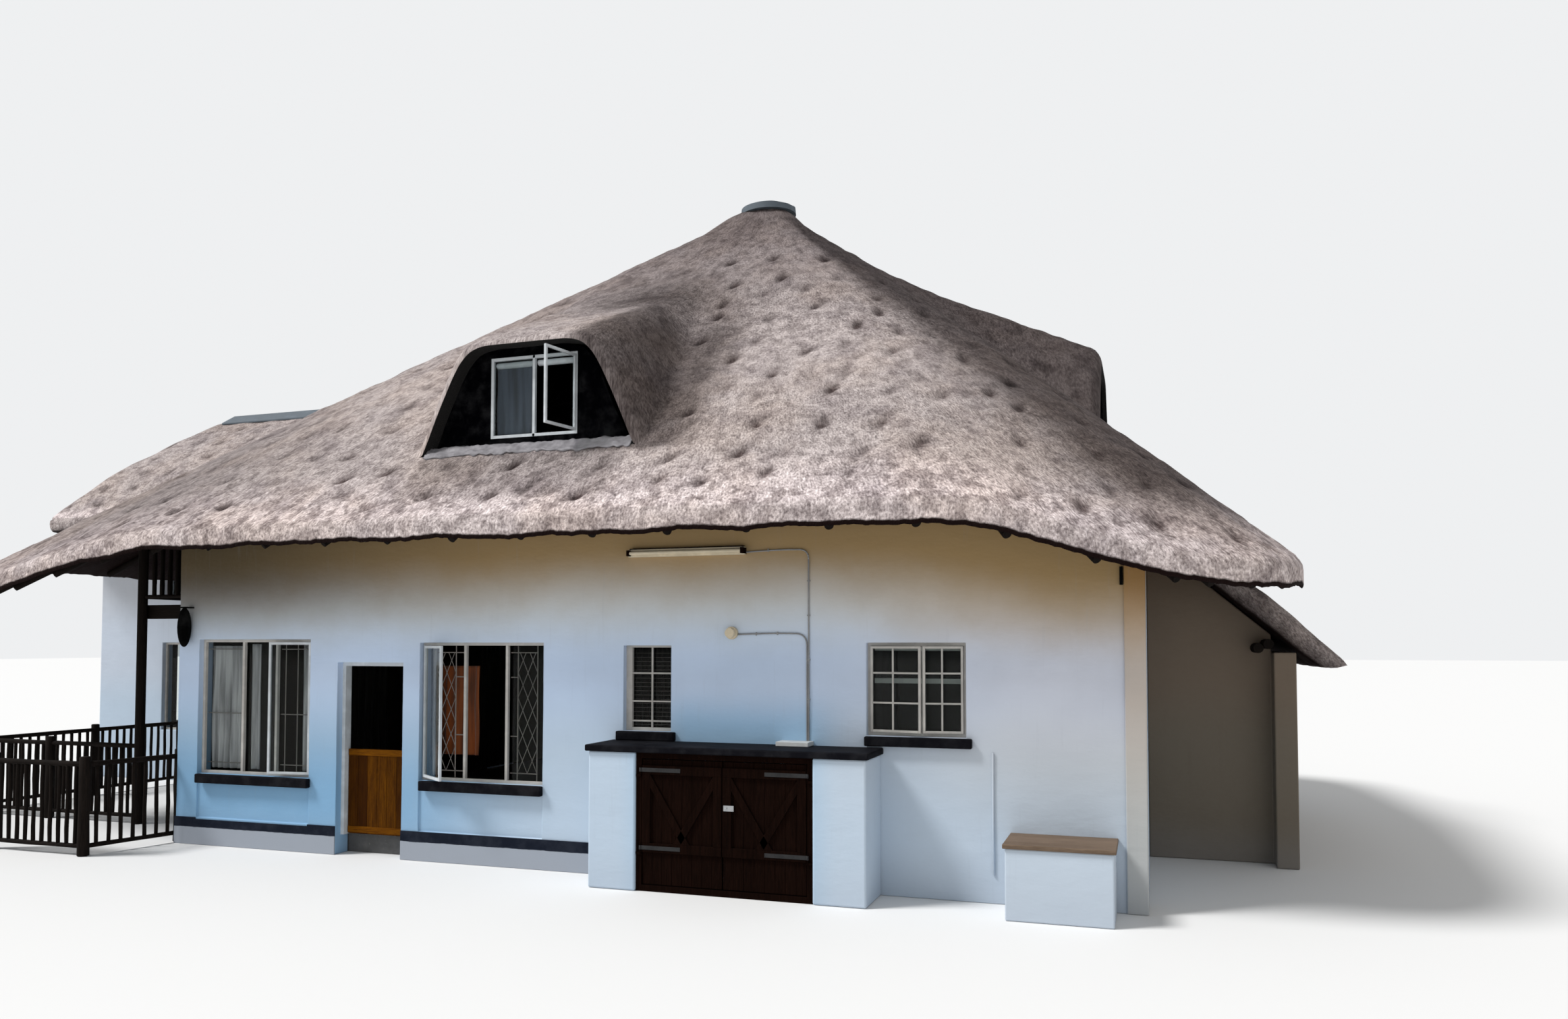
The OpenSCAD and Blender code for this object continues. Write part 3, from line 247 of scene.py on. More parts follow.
def makePaint(name, colour, rough, wear, worn=(0.42, 0.4, 0.38), shine=0.35, plinth=None):
    # plinth: below this height the paint gives way to bare grey plaster
    f = Finish(name, **{"Specular IOR Level": shine})
    patch, fine = f.noise(5, 5, 0.62), f.noise(60, 3, 0.5)
    tone = f.mix(f.span(patch, 0.4, 0.72), colour, tuple(min(1, 1.25 * c + 0.01) for c in colour))
    tone = f.mix(f.span(f.noise(14, 6, 0.72), 0.6, 0.74) * wear, tone, worn)
    if plinth:
        bare = f.span(f.axis(2) + 0.02 * patch, plinth + 0.006, plinth + 0.014, 1, 0)
        tone = f.mix(bare, tone, (0.33, 0.36, 0.41))
    f.done(tone, f.bump(fine, 0.0012, 0.5), Roughness=f.span(patch, 0.3, 0.7, rough - 0.08, rough + 0.1))


def makeWood(name, dark, light, rough, along, boards=None, shine=0.2):
    # grain: coarse and fine noise, stretched along one axis; boards differ in tone
    f = Finish(name, **{"Specular IOR Level": shine})
    stretch = tuple(0.55 if index == along else 7.0 for index in range(3))
    grain, fibre = f.noise(9, 8, 0.66, stretch), f.noise(45, 4, 0.6, stretch)
    wide = f.noise(1.7, 3, 0.5, tuple(0.35 * s + 0.4 for s in stretch))
    between = tuple(0.55 * a + 0.45 * b for a, b in zip(dark, light))
    tone = f.ramp(0.62 * grain + 0.23 * fibre + 0.25 * wide, [(0.36, dark), (0.52, between), (0.68, light)])
    if boards:
        axis, start, width, spread = boards
        index = f.node("ShaderNodeMath", {"operation": "FLOOR"}, {0: (f.axis(axis) - start) / width})
        pick = f.node("ShaderNodeTexWhiteNoise", {"noise_dimensions": "1D"}, {"W": index * 1.37 + 4.1})
        tone = f.mix(f.span(pick, 0.0, 1.0) * spread, tone, dark)
    f.done(tone, f.bump(grain * 0.7 + fibre * 0.3, 0.0025, 0.6),
           Roughness=f.span(grain, 0.3, 0.7, rough - 0.06, rough + 0.12))


def makeMetal(name, colour, rough, metallic=1.0):
    f = Finish(name)
    patch = f.noise(9, 5, 0.65)
    tone = f.mix(f.span(patch, 0.4, 0.75), colour, tuple(0.72 * c for c in colour))
    f.done(tone, f.bump(f.noise(70, 2), 0.0008, 0.4), Metallic=metallic,
           Roughness=f.span(patch, 0.3, 0.75, rough, rough + 0.25))


def makeGlass(name, tint=(0.84, 0.88, 0.88)):
    f = Finish(name, **{"Roughness": 0.02, "IOR": 1.15, "Transmission Weight": 1.0})
    f.done(tint, f.bump(f.noise(1.6, 2), 0.004, 0.25))


def makeThatch(name, darkerHigh):
    # cut reed ends: short strokes down the slope on the piece's own map of eave metres and slope metres
    f = Finish(name, **{"Specular IOR Level": 0.1})
    where = f.node("ShaderNodeUVMap", {"uv_map": "reeds"})
    spread, dimple, edge, under, stain = [f.node("ShaderNodeAttribute", {"attribute_name": key}, output="Fac")
                                          for key in ("spread", "dimple", "edge", "under", "stain")]

    def stretched(across, down):
        return f.node("ShaderNodeMapping", {}, {0: where, "Scale": (across, down, 1)})

    def layer(across, down, scale, detail, rough):
        # the same noise at three widths, so that reeds keep their size where the slope narrows to the apex
        wide, mid, slim = [f.noise(scale, detail, rough, where=stretched(across * k, down)) for k in (1.0, 0.5, 0.22)]
        low, high = f.span(spread, 0.5, 0.8), f.span(spread, 0.2, 0.42)
        return high * (low * wide + (1 - low) * mid) + (1 - high) * slim

    reed, tuft = layer(2.7, 1.9, 15, 3, 0.6), layer(1.5, 1.0, 7, 4, 0.62)
    strands = f.noise(1, 3, 0.6, where=stretched(46, 9))
    patch, blot, clump = f.noise(0.55, 4, 0.6), f.noise(2.1, 5, 0.66), f.noise(6.5, 4, 0.6)
    pale, mid, deep = (0.70, 0.625, 0.605), (0.50, 0.434, 0.416), (0.27, 0.23, 0.225)
    tone = f.tinted(f.ramp(reed, [(0.33, deep), (0.5, mid), (0.66, pale)]), [
        (f.span(tuft, 0.56, 0.36) * 0.55, (0.45, 0.43, 0.43)),
        (f.span(patch, 0.42, 0.64) * 0.4, (1.0, 0.91, 0.8)),
        (f.span(blot, 0.46, 0.66) * 0.6, (0.52, 0.5, 0.52)),
        # darker towards the top of the roof
        (f.span(f.axis(2) + 1.2 * patch, 6.2, 9.4) * darkerHigh, (0.42, 0.4, 0.42)),
        (f.span(clump, 0.54, 0.4) * (0.5 + 0.4 * edge), (0.5, 0.48, 0.48)),
        (edge * 0.8, (1.8, 1.8, 1.84)),
        (edge * f.span(strands, 0.6, 0.38) * 0.4, (0.35, 0.32, 0.32)),
        # painted shade on the right slope, the hips, the hood's flank and the lean-to, with a worn strip under the
        # flashing
        (stain, (0.16, 0.145, 0.145)),
        # painted shade in the stitches' hollows
        (dimple, (0.21, 0.18, 0.18))])
    # painted near-black shade on the underside and the lower part of the cut
    tone = f.mix(under, tone, (0.008, 0.003, 0.0025))
    f.done(tone, f.bump(reed, 0.014, 1.0, f.bump(tuft, 0.04, 0.9)), Roughness=0.95)


def makeReedCut(name, deep, light):
    # the cut ends and the underside of the reeds, painted near-black as the shade they lie in
    f = Finish(name, **{"Roughness": 0.95})
    ends = f.noise(75, 3, 0.6)
    tone = f.mix(f.span(ends, 0.42, 0.66), deep, light)
    tone = f.mix(f.span(f.noise(3, 4), 0.4, 0.7) * 0.5, tone, deep)
    f.done(tone, f.bump(ends, 0.01, 0.9))


def makeCloth(name, colour, shade):
    f = Finish(name, **{"Roughness": 0.9, "Sheen Weight": 0.2})
    tone = f.mix(f.span(f.noise(3.2, 3, 0.5, (4, 4, 0.3)), 0.35, 0.7), colour, shade)
    f.done(tone, f.bump(f.noise(420, 2, 0.5), 0.0006, 0.5))


makePlaster("limewash", (0.54, 0.60, 0.69), 0.6)
# dark brown plaster: painted shade for the lean-to's walls, which stand in the main roof's shade
makePlaster("shadePaintedPlaster", (0.20, 0.155, 0.115), 0.4, (0.13, 0.095, 0.065))
makePaint("blackPaint", (0.003, 0.003, 0.005), 0.75, 0.2, (0.02, 0.02, 0.024), 0.06)
makePaint("skirtingPaint", (0.008, 0.011, 0.02), 0.8, 0.2, (0.03, 0.04, 0.06), 0.06, 0.212)
makePaint("capPaint", (0.09, 0.11, 0.13), 0.7, 0.3, (0.2, 0.22, 0.25), 0.3)
makePaint("whitePaint", (0.52, 0.55, 0.57), 0.5, 0.15, (0.3, 0.29, 0.27))
makePaint("framePaint", (0.45, 0.43, 0.40), 0.55, 0.2, (0.25, 0.22, 0.19), 0.2)
makePaint("barPaint", (0.19, 0.17, 0.155), 0.6, 0.2, (0.1, 0.09, 0.08), 0.15)
makePaint("creamPlastic", (0.58, 0.50, 0.36), 0.5, 0.15, (0.3, 0.22, 0.13))
# grey standing in for the shade on the wall-coloured conduits and their clips
makePaint("conduitPaint", (0.25, 0.25, 0.25), 0.6, 0.2, (0.14, 0.13, 0.12), 0.15)
makePaint("whitePlastic", (0.56, 0.57, 0.56), 0.45, 0.05)
makePaint("darkBoards", (0.001, 0.001, 0.0016), 0.9, 0.1, (0.004, 0.004, 0.005), 0.0)
makePaint("lanternBlack", (0.0012, 0.0012, 0.0012), 0.8, 0.2, (0.008, 0.008, 0.008), 0.03)
makeWood("brownStain", (0.0018, 0.0009, 0.0006), (0.011, 0.0045, 0.003), 0.9, 2, shine=0.02)
makeWood("lidTimber", (0.085, 0.055, 0.035), (0.21, 0.15, 0.105), 0.7, 0)
for name, along in (("creosote", 2), ("creosoteAlongX", 0)):
    makeWood(name, (0.002, 0.0016, 0.0014), (0.015, 0.011, 0.009), 0.8, along, shine=0.06)
makeWood("loftBoards", (0.02, 0.012, 0.008), (0.07, 0.045, 0.028), 0.7, 0)
makeMetal("dullSteel", (0.46, 0.47, 0.48), 0.4)
makeMetal("blackIron", (0.02, 0.02, 0.021), 0.6, 0.3)
makeMetal("sheetGrey", (0.33, 0.32, 0.33), 0.5, 0.6)
makeGlass("windowGlass")
makeThatch("thatch", 0.75)
makeReedCut("reedEnds", (0.0015, 0.0012, 0.001), (0.012, 0.009, 0.008))
makeCloth("paleCurtain", (0.5, 0.49, 0.49), (0.2, 0.195, 0.2))
makeCloth("netCurtain", (0.085, 0.10, 0.13), (0.05, 0.055, 0.068))
makeCloth("amberCurtain", (0.21, 0.046, 0.0015), (0.062, 0.015, 0.001))
# near-black curtains stand in for the shade of the dark rooms behind the openings
makeCloth("darkCurtain", (0.022, 0.018, 0.015), (0.01, 0.008, 0.007))
makePaint("concrete", (0.09, 0.09, 0.09), 0.8, 0.3, shine=0.1)
print("finishes made")


@contextmanager
def edited(mesh):
    # the mesh as a bmesh, written back at the end
    work = bmesh.new()
    work.from_mesh(mesh)
    yield work
    work.to_mesh(mesh)
    work.free()


def linked(name, data):
    made = bpy.data.objects.new(name, data)
    bpy.context.collection.objects.link(made)
    return made


def gridFaces(rows, columns, closed=False):
    # quads between neighbouring points of a grid stored row by row
    i = np.arange(rows - 1)[:, None] * columns
    j = np.arange(columns if closed else columns - 1)[None, :]
    k = (j + 1) % columns
    return np.stack([i + j, i + k, i + columns + k, i + columns + j], -1).reshape(-1, 4)


def makePiece(name, points, faces, finish, body="root", maps=None, fields=None, merge=1e-5, smooth=True):
    # one mesh object from arrays: points, faces, a uv map and point values
    mesh = bpy.data.meshes.new(name)
    mesh.from_pydata(np.asarray(points, float).reshape(-1, 3).tolist(), [], np.asarray(faces).tolist())
    if maps is not None:
        layer = mesh.uv_layers.new(name="reeds")
        corner = np.empty(len(mesh.loops), int)
        mesh.loops.foreach_get("vertex_index", corner)
        layer.data.foreach_set("uv", np.asarray(maps, float).reshape(-1, 2)[corner].ravel())
    for key, values in (fields or {}).items():
        mesh.attributes.new(key, "FLOAT", "POINT").data.foreach_set("value", np.asarray(values, float).ravel())
    if merge:
        with edited(mesh) as work:
            bmesh.ops.remove_doubles(work, verts=work.verts, dist=merge)
            bmesh.ops.dissolve_degenerate(work, edges=work.edges, dist=1e-6)
            bmesh.ops.recalc_face_normals(work, faces=work.faces)
    mesh.polygons.foreach_set("use_smooth", np.full(len(mesh.polygons), smooth))
    piece = linked(name, mesh)
    mesh.materials.append(finishes[finish])
    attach(piece, body)
    return piece


# Main roof
roof = {
    "left": 10.9, "right": 6.95, "front": 5.8,  # from the line of the apex to the eaves
    "apex": 9.2, "eave": 3.8, "drop": 0.6, "dropFrom": 0.5, "endDropFrom": -0.2, "dropFull": 0.9,
    "squareTop": 2.6, "squareEave": 7.2, "thick": 0.24, "slope": 8.1,
    "columns": {"Left": 330, "Front": 330, "Right": 330, "Back": 300}, "rows": 150,
    "unevenness": 0.014, "dimpleDepth": 0.05, "dimpleGap": 0.70, "dimpleRise": 0.53,
}
hoods = [
    {"centre": -1.20, "face": 4.70, "foot": 4.75, "reach": 5.8, "way": "front", "high": 1.13, "nose": 0.2},
    {"centre": 0.30, "face": 4.83, "foot": 5.39, "reach": 6.95, "way": "right", "high": 0.86, "nose": 0.06},
]
hoodShape = {"thick": 0.17, "rise": 0.45,
             "across": (0, 0.52, 0.68, 0.80, 0.92, 1.16, 1.31, 1.45, 2.6),
             "height": (0, 0, -0.03, -0.11, -0.27)}  # below the top; the sides' heights above the foot are next
hoodSides = (0.36, 0.0, -0.30, -2.8)


def ease(value):
    c = np.clip(value, 0, 1)
    return c * c * (3 - 2 * c)


def between(first, last, share):
    return first + (last - first) * share


def planRadius(angle, square):
    # superellipse in plan: (|x| / half length) ^ n + (|y| / half width) ^ n = 1
    half = np.where(np.cos(angle) > 0, roof["right"], roof["left"])
    across, along = np.abs(np.cos(angle)) / half, np.abs(np.sin(angle)) / roof["front"]
    return (across ** square + along ** square) ** (-1 / square)


def roofAt(angle, t):
    # apex at t = 0, eave at t = 1; the height falls evenly, and more towards the corners
    square = between(roof["squareTop"], roof["squareEave"], np.minimum(t, 1))
    rho = planRadius(angle, square) * t
    full = planRadius(angle, roof["squareEave"])
    half = np.where(np.cos(angle) > 0, roof["right"], roof["left"])
    across, along = full * np.abs(np.cos(angle)) / half, full * np.abs(np.sin(angle)) / roof["front"]
    start = np.where((np.cos(angle) > 0) & (across > along), roof["endDropFrom"], roof["dropFrom"])
    droop = roof["drop"] * ease((np.minimum(across, along) - start) / (roof["dropFull"] - start))
    height = between(roof["apex"], roof["eave"], t) - droop * t * t
    return rho * np.cos(angle), rho * np.sin(angle), height


def roofOver(x, y, start=0.8, steps=12):
    # height of the plain roof over a place: t is how far out it lies, found by closing in on it
    angle = np.arctan2(y, x)
    t = start * np.ones_like(angle)
    for _ in range(steps):
        t = np.hypot(x, y) / planRadius(angle, between(roof["squareTop"], roof["squareEave"], t))
    return roofAt(angle, t)[2]


def eaveAngles(start, stop, count):
    # directions that are evenly spaced along the eave, and where they lie along it in metres
    fine = np.radians(np.linspace(-200, 200, 9000))
    x, y, _ = roofAt(fine, np.ones_like(fine))
    run = np.concatenate([[0], np.cumsum(np.hypot(np.diff(x), np.diff(y)))])
    places = np.linspace(*np.interp(np.radians([start, stop]), fine, run), count)
    return np.interp(places, run, fine), places


def waves(u, w, seed, length, count=14):
    # soft unevenness: the sum of sine waves in many directions
    rng = np.random.default_rng(seed)
    turns, phases, paces = rng.uniform(0, 6.283, count), rng.uniform(0, 6.283, count), rng.uniform(0.6, 1.9, count)
    total = np.zeros(np.broadcast(u, w).shape)
    for turn, phase, pace in zip(turns, phases, paces):
        total += np.sin(6.283 * pace / length * (np.cos(turn) * u + np.sin(turn) * w) + phase)
    return total / math.sqrt(count)


def smoothMax(a, b, width):
    h = np.clip(0.5 + 0.5 * (b - a) / width, 0, 1)
    return b * h + a * (1 - h) + width * h * (1 - h)


def hoodLocal(hood, x, y):
    # across the dormer, and back from its face
    if hood["way"] == "front":
        return x - hood["centre"], y + hood["face"]
    return y - hood["centre"], hood["face"] - x


def hoodArch(hood, u):
    # the dormer's outline, softened by averaging it over 14 cm
    height = [hood["high"] + h for h in hoodShape["height"]] + list(hoodSides)
    total = 0
    for shift in np.linspace(-0.07, 0.07, 7):
        total = total + np.interp(np.abs(u + shift), hoodShape["across"], height)
    return total / 7


def hoodTop(hood, x, y):
    # the arch grown by the thatch, which rounds over to nothing at the front edge and climbs backwards
    u, v = hoodLocal(hood, x, y)
    full = np.clip((v + hood["nose"]) / (2 * hood["nose"]), 0, 1)
    thick = hoodShape["thick"] * np.sqrt(1 - (1 - full) ** 2)
    arch = hoodArch(hood, np.maximum(np.abs(u) - 0.8 * thick, 0))
    return hood["foot"] + arch + thick + hoodShape["rise"] * np.maximum(v, 0), v


def liftByHoods(x, y, z, rows, frontRow):
    # rows above each dormer's front edge rise over its arch
    for hood in hoods:
        top, v = hoodTop(hood, x, y)
        facing = (-y > 0.6 * np.abs(x)) if hood["way"] == "front" else (x > 0.6 * np.abs(y))
        lifted = smoothMax(z, top, 0.06 + 0.3 * ease((v + 0.2) / 1.2))
        above = (rows <= frontRow[hood["way"]]) & facing
        z = np.where(above, np.maximum(z, lifted), z)
    return z


def stitch(across, rise):
    # a slanting oval hollow: a Gaussian of the two distances along and across it
    return np.exp(-((0.6 * across + 0.8 * rise) / 0.12) ** 2 - ((0.8 * across - 0.6 * rise) / 0.07) ** 2)


def dimpleField(x, y, z, seed=7):
    # stitches in staggered rows round the roof, each a little off its place and of its own depth
    rng = np.random.default_rng(seed)
    centres = []
    slope = math.hypot(roof["front"], roof["apex"] - roof["eave"])
    around = eaveAngles(-180, 180, 3000)[0]
    for row in range(int((slope - 1.6) / roof["dimpleRise"])):
        t = 1 - (0.42 + row * roof["dimpleRise"]) / slope
        px, py, _ = roofAt(around, np.full_like(around, t))
        run = np.concatenate([[0], np.cumsum(np.hypot(np.diff(px), np.diff(py)))])
        number = int(run[-1] / roof["dimpleGap"])
        at = (np.arange(number) + 0.5 * (row % 2) + rng.uniform(-0.28, 0.28, number)) * roof["dimpleGap"]
        turn = np.interp(at, run, around)
        place = roofAt(turn, np.clip(t + rng.uniform(-0.02, 0.02, number), 0, 1))
        centres.append(np.stack([*place, turn, rng.uniform(0.5, 1.3, number)], 1))
    centres = np.concatenate(centres)
    field = np.zeros(x.shape)
    flat = np.stack([x.ravel(), y.ravel(), z.ravel()], 1)
    for part in np.array_split(np.arange(len(flat)), 40):
        near = flat[part][:, None, :] - centres[None, :, :3]
        across = -np.sin(centres[:, 3]) * near[..., 0] + np.cos(centres[:, 3]) * near[..., 1]
        rise = np.sqrt(np.maximum((near ** 2).sum(-1) - across ** 2, 0)) * np.sign(near[..., 2])
        field.ravel()[part] = (centres[:, 4] * stitch(across, rise)).max(-1)
    return field


def roofRows():
    # rows from apex to eave, closer together at the two dormers' front edges, where one row is doubled
    rows = list(np.linspace(0, 0.992, roof["rows"]))
    marks = {}
    for hood in hoods:
        front = (hood["face"] + hood["nose"]) / hood["reach"]
        near = [front - step / hood["reach"] for step in (0.004, 0.016, 0.04, 0.08, 0.14, 0.2)]
        low, high = front - 0.27 / hood["reach"], front + 0.02 / hood["reach"]
        rows = [t for t in rows if not low < t < high] + near
        marks[hood["way"]] = front
        rows += [front, front + 1e-9]
    rows = np.array(sorted(rows))
    return rows, {way: int(np.searchsorted(rows, front + 5e-10)) - 1 for way, front in marks.items()}


def thatchSector(name, start, stop, columns):
    # one closed skin: the upper face, the cut edge at the eaves, and the underside back to the apex
    angles, places = eaveAngles(start, stop, columns)
    outer, frontRow = roofRows()
    edge = np.array([(0.9955, 0.006), (0.999, 0.03), (1.0, 0.07), (1.0, 0.12), (1.0, 0.17), (1.0, 0.19),
                     (0.9995, 0.215), (0.998, 0.24)])  # t, and metres down the cut
    behind = [(hood["face"] - step) / hood["reach"] for hood in hoods for step in (0.025, 0.036)]
    inner = np.array(sorted([*np.linspace(0.96, 0.004, 22), *behind], reverse=True))
    rows = np.concatenate([outer, edge[:, 0], inner])
    depth = np.concatenate([0 * outer, edge[:, 1], 0 * inner + roof["thick"]])[:, None]
    part = np.repeat([0, 1, 2], [len(outer), len(edge), len(inner)])[:, None]
    top, cut, under = part == 0, part == 1, part == 2
    t, a = np.meshgrid(rows, angles, indexing="ij")
    x, y, z = roofAt(a, t)
    dimple = np.zeros(a.shape)
    dimple[:len(outer)] = dimpleField(x[:len(outer)], y[:len(outer)], z[:len(outer)])
    index = np.where(top, np.arange(len(rows))[:, None], 10 ** 6) * np.ones_like(a)
    lifted = liftByHoods(x, y, z, index, frontRow)
    calm = ease(t / 0.05)
    inHood, stain = np.zeros_like(z), np.zeros_like(z)
    below = z - depth
    for hood in hoods:
        height, v = hoodTop(hood, x, y)
        local = hoodLocal(hood, x, y)[0]
        wide, front = np.abs(local), hood["way"] == "front"
        reach = (v > -0.3) * ease((3.4 - v) / 0.8) * ease((2.2 - wide) / 0.3)
        inHood = np.maximum(inHood, ease((height - z + 0.25) / 0.2) * reach)
        calm = calm * (1 - 0.9 * np.exp(-((v + hood["nose"]) / 0.08) ** 2) * (wide < 1.6))
        # painted shade and a worn strip under the flashing
        flashingShadeAndWear = ease((v + 0.95) / 0.2) * (v < -0.2) * ease((1.35 - wide) / 0.1)
        # painted shade on the front hood's right flank
        flank = ease((local - 0.4) / 0.35) * ease((2.3 - local) / 0.7) * ease((v + 0.32) / 0.1) * ease((2.8 - v) / 1.6)
        stain = np.maximum(np.maximum(stain, 0.4 * flashingShadeAndWear), 0.85 * flank * front)
        roomTop = hood["foot"] + hoodArch(hood, local) + hoodShape["rise"] * np.maximum(v, 0)
        below = np.where(under & (v > 0.03) & (v < 3.4) & (wide < 1.3), np.maximum(below, roomTop), below)
    dimple = dimple * (1 - inHood)
    rough = roof["unevenness"] * (0.6 * waves(x, y, 3, 0.9) + 0.4 * waves(x, y, 4, 0.32))
    level = 0 * places
    ragged = (0.012 * waves(places, level, 9, 1.1) + 0.005 * waves(places, level, 10, 0.14)) * ease(depth / 0.16)
    swell = 0.06 * np.exp(-((t - 0.05) / 0.03) ** 2)  # a thicker collar under the cap
    z = np.where(top, lifted + swell + rough * calm - roof["dimpleDepth"] * dimple, below + ragged * cut)
    points = np.stack([x, y, z], -1).reshape(-1, 3)
    faces = gridFaces(len(rows), columns)
    faces = faces[~np.isin(faces[:, 0] // columns, list(frontRow.values()))]
    # leave out what the wing's roof and rooms take
    px, py, pz = points[faces].mean(1).T
    inRoom = (px < -6.1) & (py > -0.1) & (py < 4.1) & (pz < 4.8)
    faces = faces[~(inRoom | ((wingTop(px, py) - pz > 0.12) & (pz > 4.7)))]
    # behind each dormer's window the underside is open
    for hood in hoods:
        middle, tall = points[faces].mean(1), np.ptp(points[faces][:, :, 2], axis=1)
        local, v = hoodLocal(hood, middle[:, 0], middle[:, 1])
        shut = (np.abs(local) < 1.3) & (np.abs(v - 0.03) < 0.04) & (tall > 0.3)
        faces = faces[~(shut & (faces[:, 0] // columns >= len(outer) + len(edge)))]
    # painted shade: the right-hand slope and the hips darker than the front, a dark patch high on the front slope and a
    # dark crease on the front-right hip; darker also towards the apex and the left
    hip = ease((51 - np.degrees(np.abs(a))) / 13) * ease((t - 0.02) / 0.15)
    hip = hip * (1 - 0.7 * ease((t - 0.84) / 0.15)) * (1 - 0.4 * ease((y + 1) / 3))
    cloud = np.exp(-((x + 0.7) / 1.1) ** 2 - ((t - 0.45) / 0.14) ** 2) * (y < 0)
    crease = np.exp(-((a + 0.70 + 0.012 * np.sin(40 * t)) * np.hypot(x, y) / 0.035) ** 2)
    crease = crease * ease((t - 0.79) / 0.03) * ease((0.915 - t) / 0.03)
    shadeAndDarkening = 1.0 * hip + 0.85 * cloud + 0.25 * ease((0.5 - t) / 0.4) + 0.42 * ease((-3.5 - x) / 3)
    stain = np.maximum(stain, np.maximum(np.minimum(shadeAndDarkening, 0.92), 0.95 * crease) * top)
    # the lower cut and the underside are painted near-black as shade
    fields = {"spread": t, "dimple": dimple, "edge": np.where(top, ease((t - 0.86) / 0.13), 0.55),
              "under": np.where(top, 0.0, ease((depth - 0.17) / 0.02)) + 0 * t, "stain": stain}
    reeds = np.stack([np.broadcast_to(places, a.shape), t * roof["slope"] + depth], -1)
    piece = makePiece(name, points, faces, "thatch", maps=reeds, fields=fields)
    return piece


# Rear left wing's roof
wing = {"ridge": 7.05, "eave": 4.75, "middle": 2.0, "halfWidth": 2.8, "ridgeEnd": -12.25, "endReach": 1.5,
        "flat": 0.06, "belly": 0.08, "start": -3.05}


def wingReach(f, side):
    return side * (f + wing["belly"] * np.sin(np.pi * f)) + wing["flat"]


def wingTop(x, y):
    # height of the wing's thatch over a point: the lower of its two sides and its hipped end
    f = np.linspace(0, 1, 60)
    acrossF = np.interp(np.abs(y - wing["middle"]), wingReach(f, wing["halfWidth"]), f, right=9)
    endF = np.interp(wing["ridgeEnd"] - x, wingReach(f, wing["endReach"]), f, left=0, right=9)
    f = np.maximum(acrossF, endF)
    height = between(wing["ridge"], wing["eave"], f)
    return np.where((f > 1) | (x > -3.0), -9, height)


bays = {"Left": (-198.3, -125), "Front": (-125, -48), "Right": (-48, 25), "Back": (25, 161.7)}  # degrees
sectors = [thatchSector("mainThatch" + side, *bay, roof["columns"][side]) for side, bay in bays.items()]
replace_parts(sectors[1], "thatch_right", "thatch_front_right", "thatch_front", "thatch_left",
            "thatch_back_left", "thatch_back_right")
print("main thatch made")


# Rear left wing's thatch and the lean-to's thatch
def patterned(u, w, seed):
    # staggered stitches on a flat map of u metres across and w metres down
    gap, rise = roof["dimpleGap"], roof["dimpleRise"]
    value = np.zeros(u.shape)
    for up, side in [(up, side) for up in (-1, 0, 1) for side in (-1, 0, 1)]:
        line = np.round(w / rise) + up
        shift = 0.5 * np.mod(line, 2)
        slot = np.round(u / gap - shift) + side
        jig = np.sin(line * 12.9898 + slot * 78.233 + seed) * 43758.5453
        jig = jig - np.floor(jig)
        du = u - (slot + shift + 0.24 * (jig - 0.5)) * gap
        dw = w - (line + 0.2 * (jig - 0.5)) * rise
        value = np.maximum(value, (0.5 + 0.6 * jig) * stitch(du, -dw))
    return value


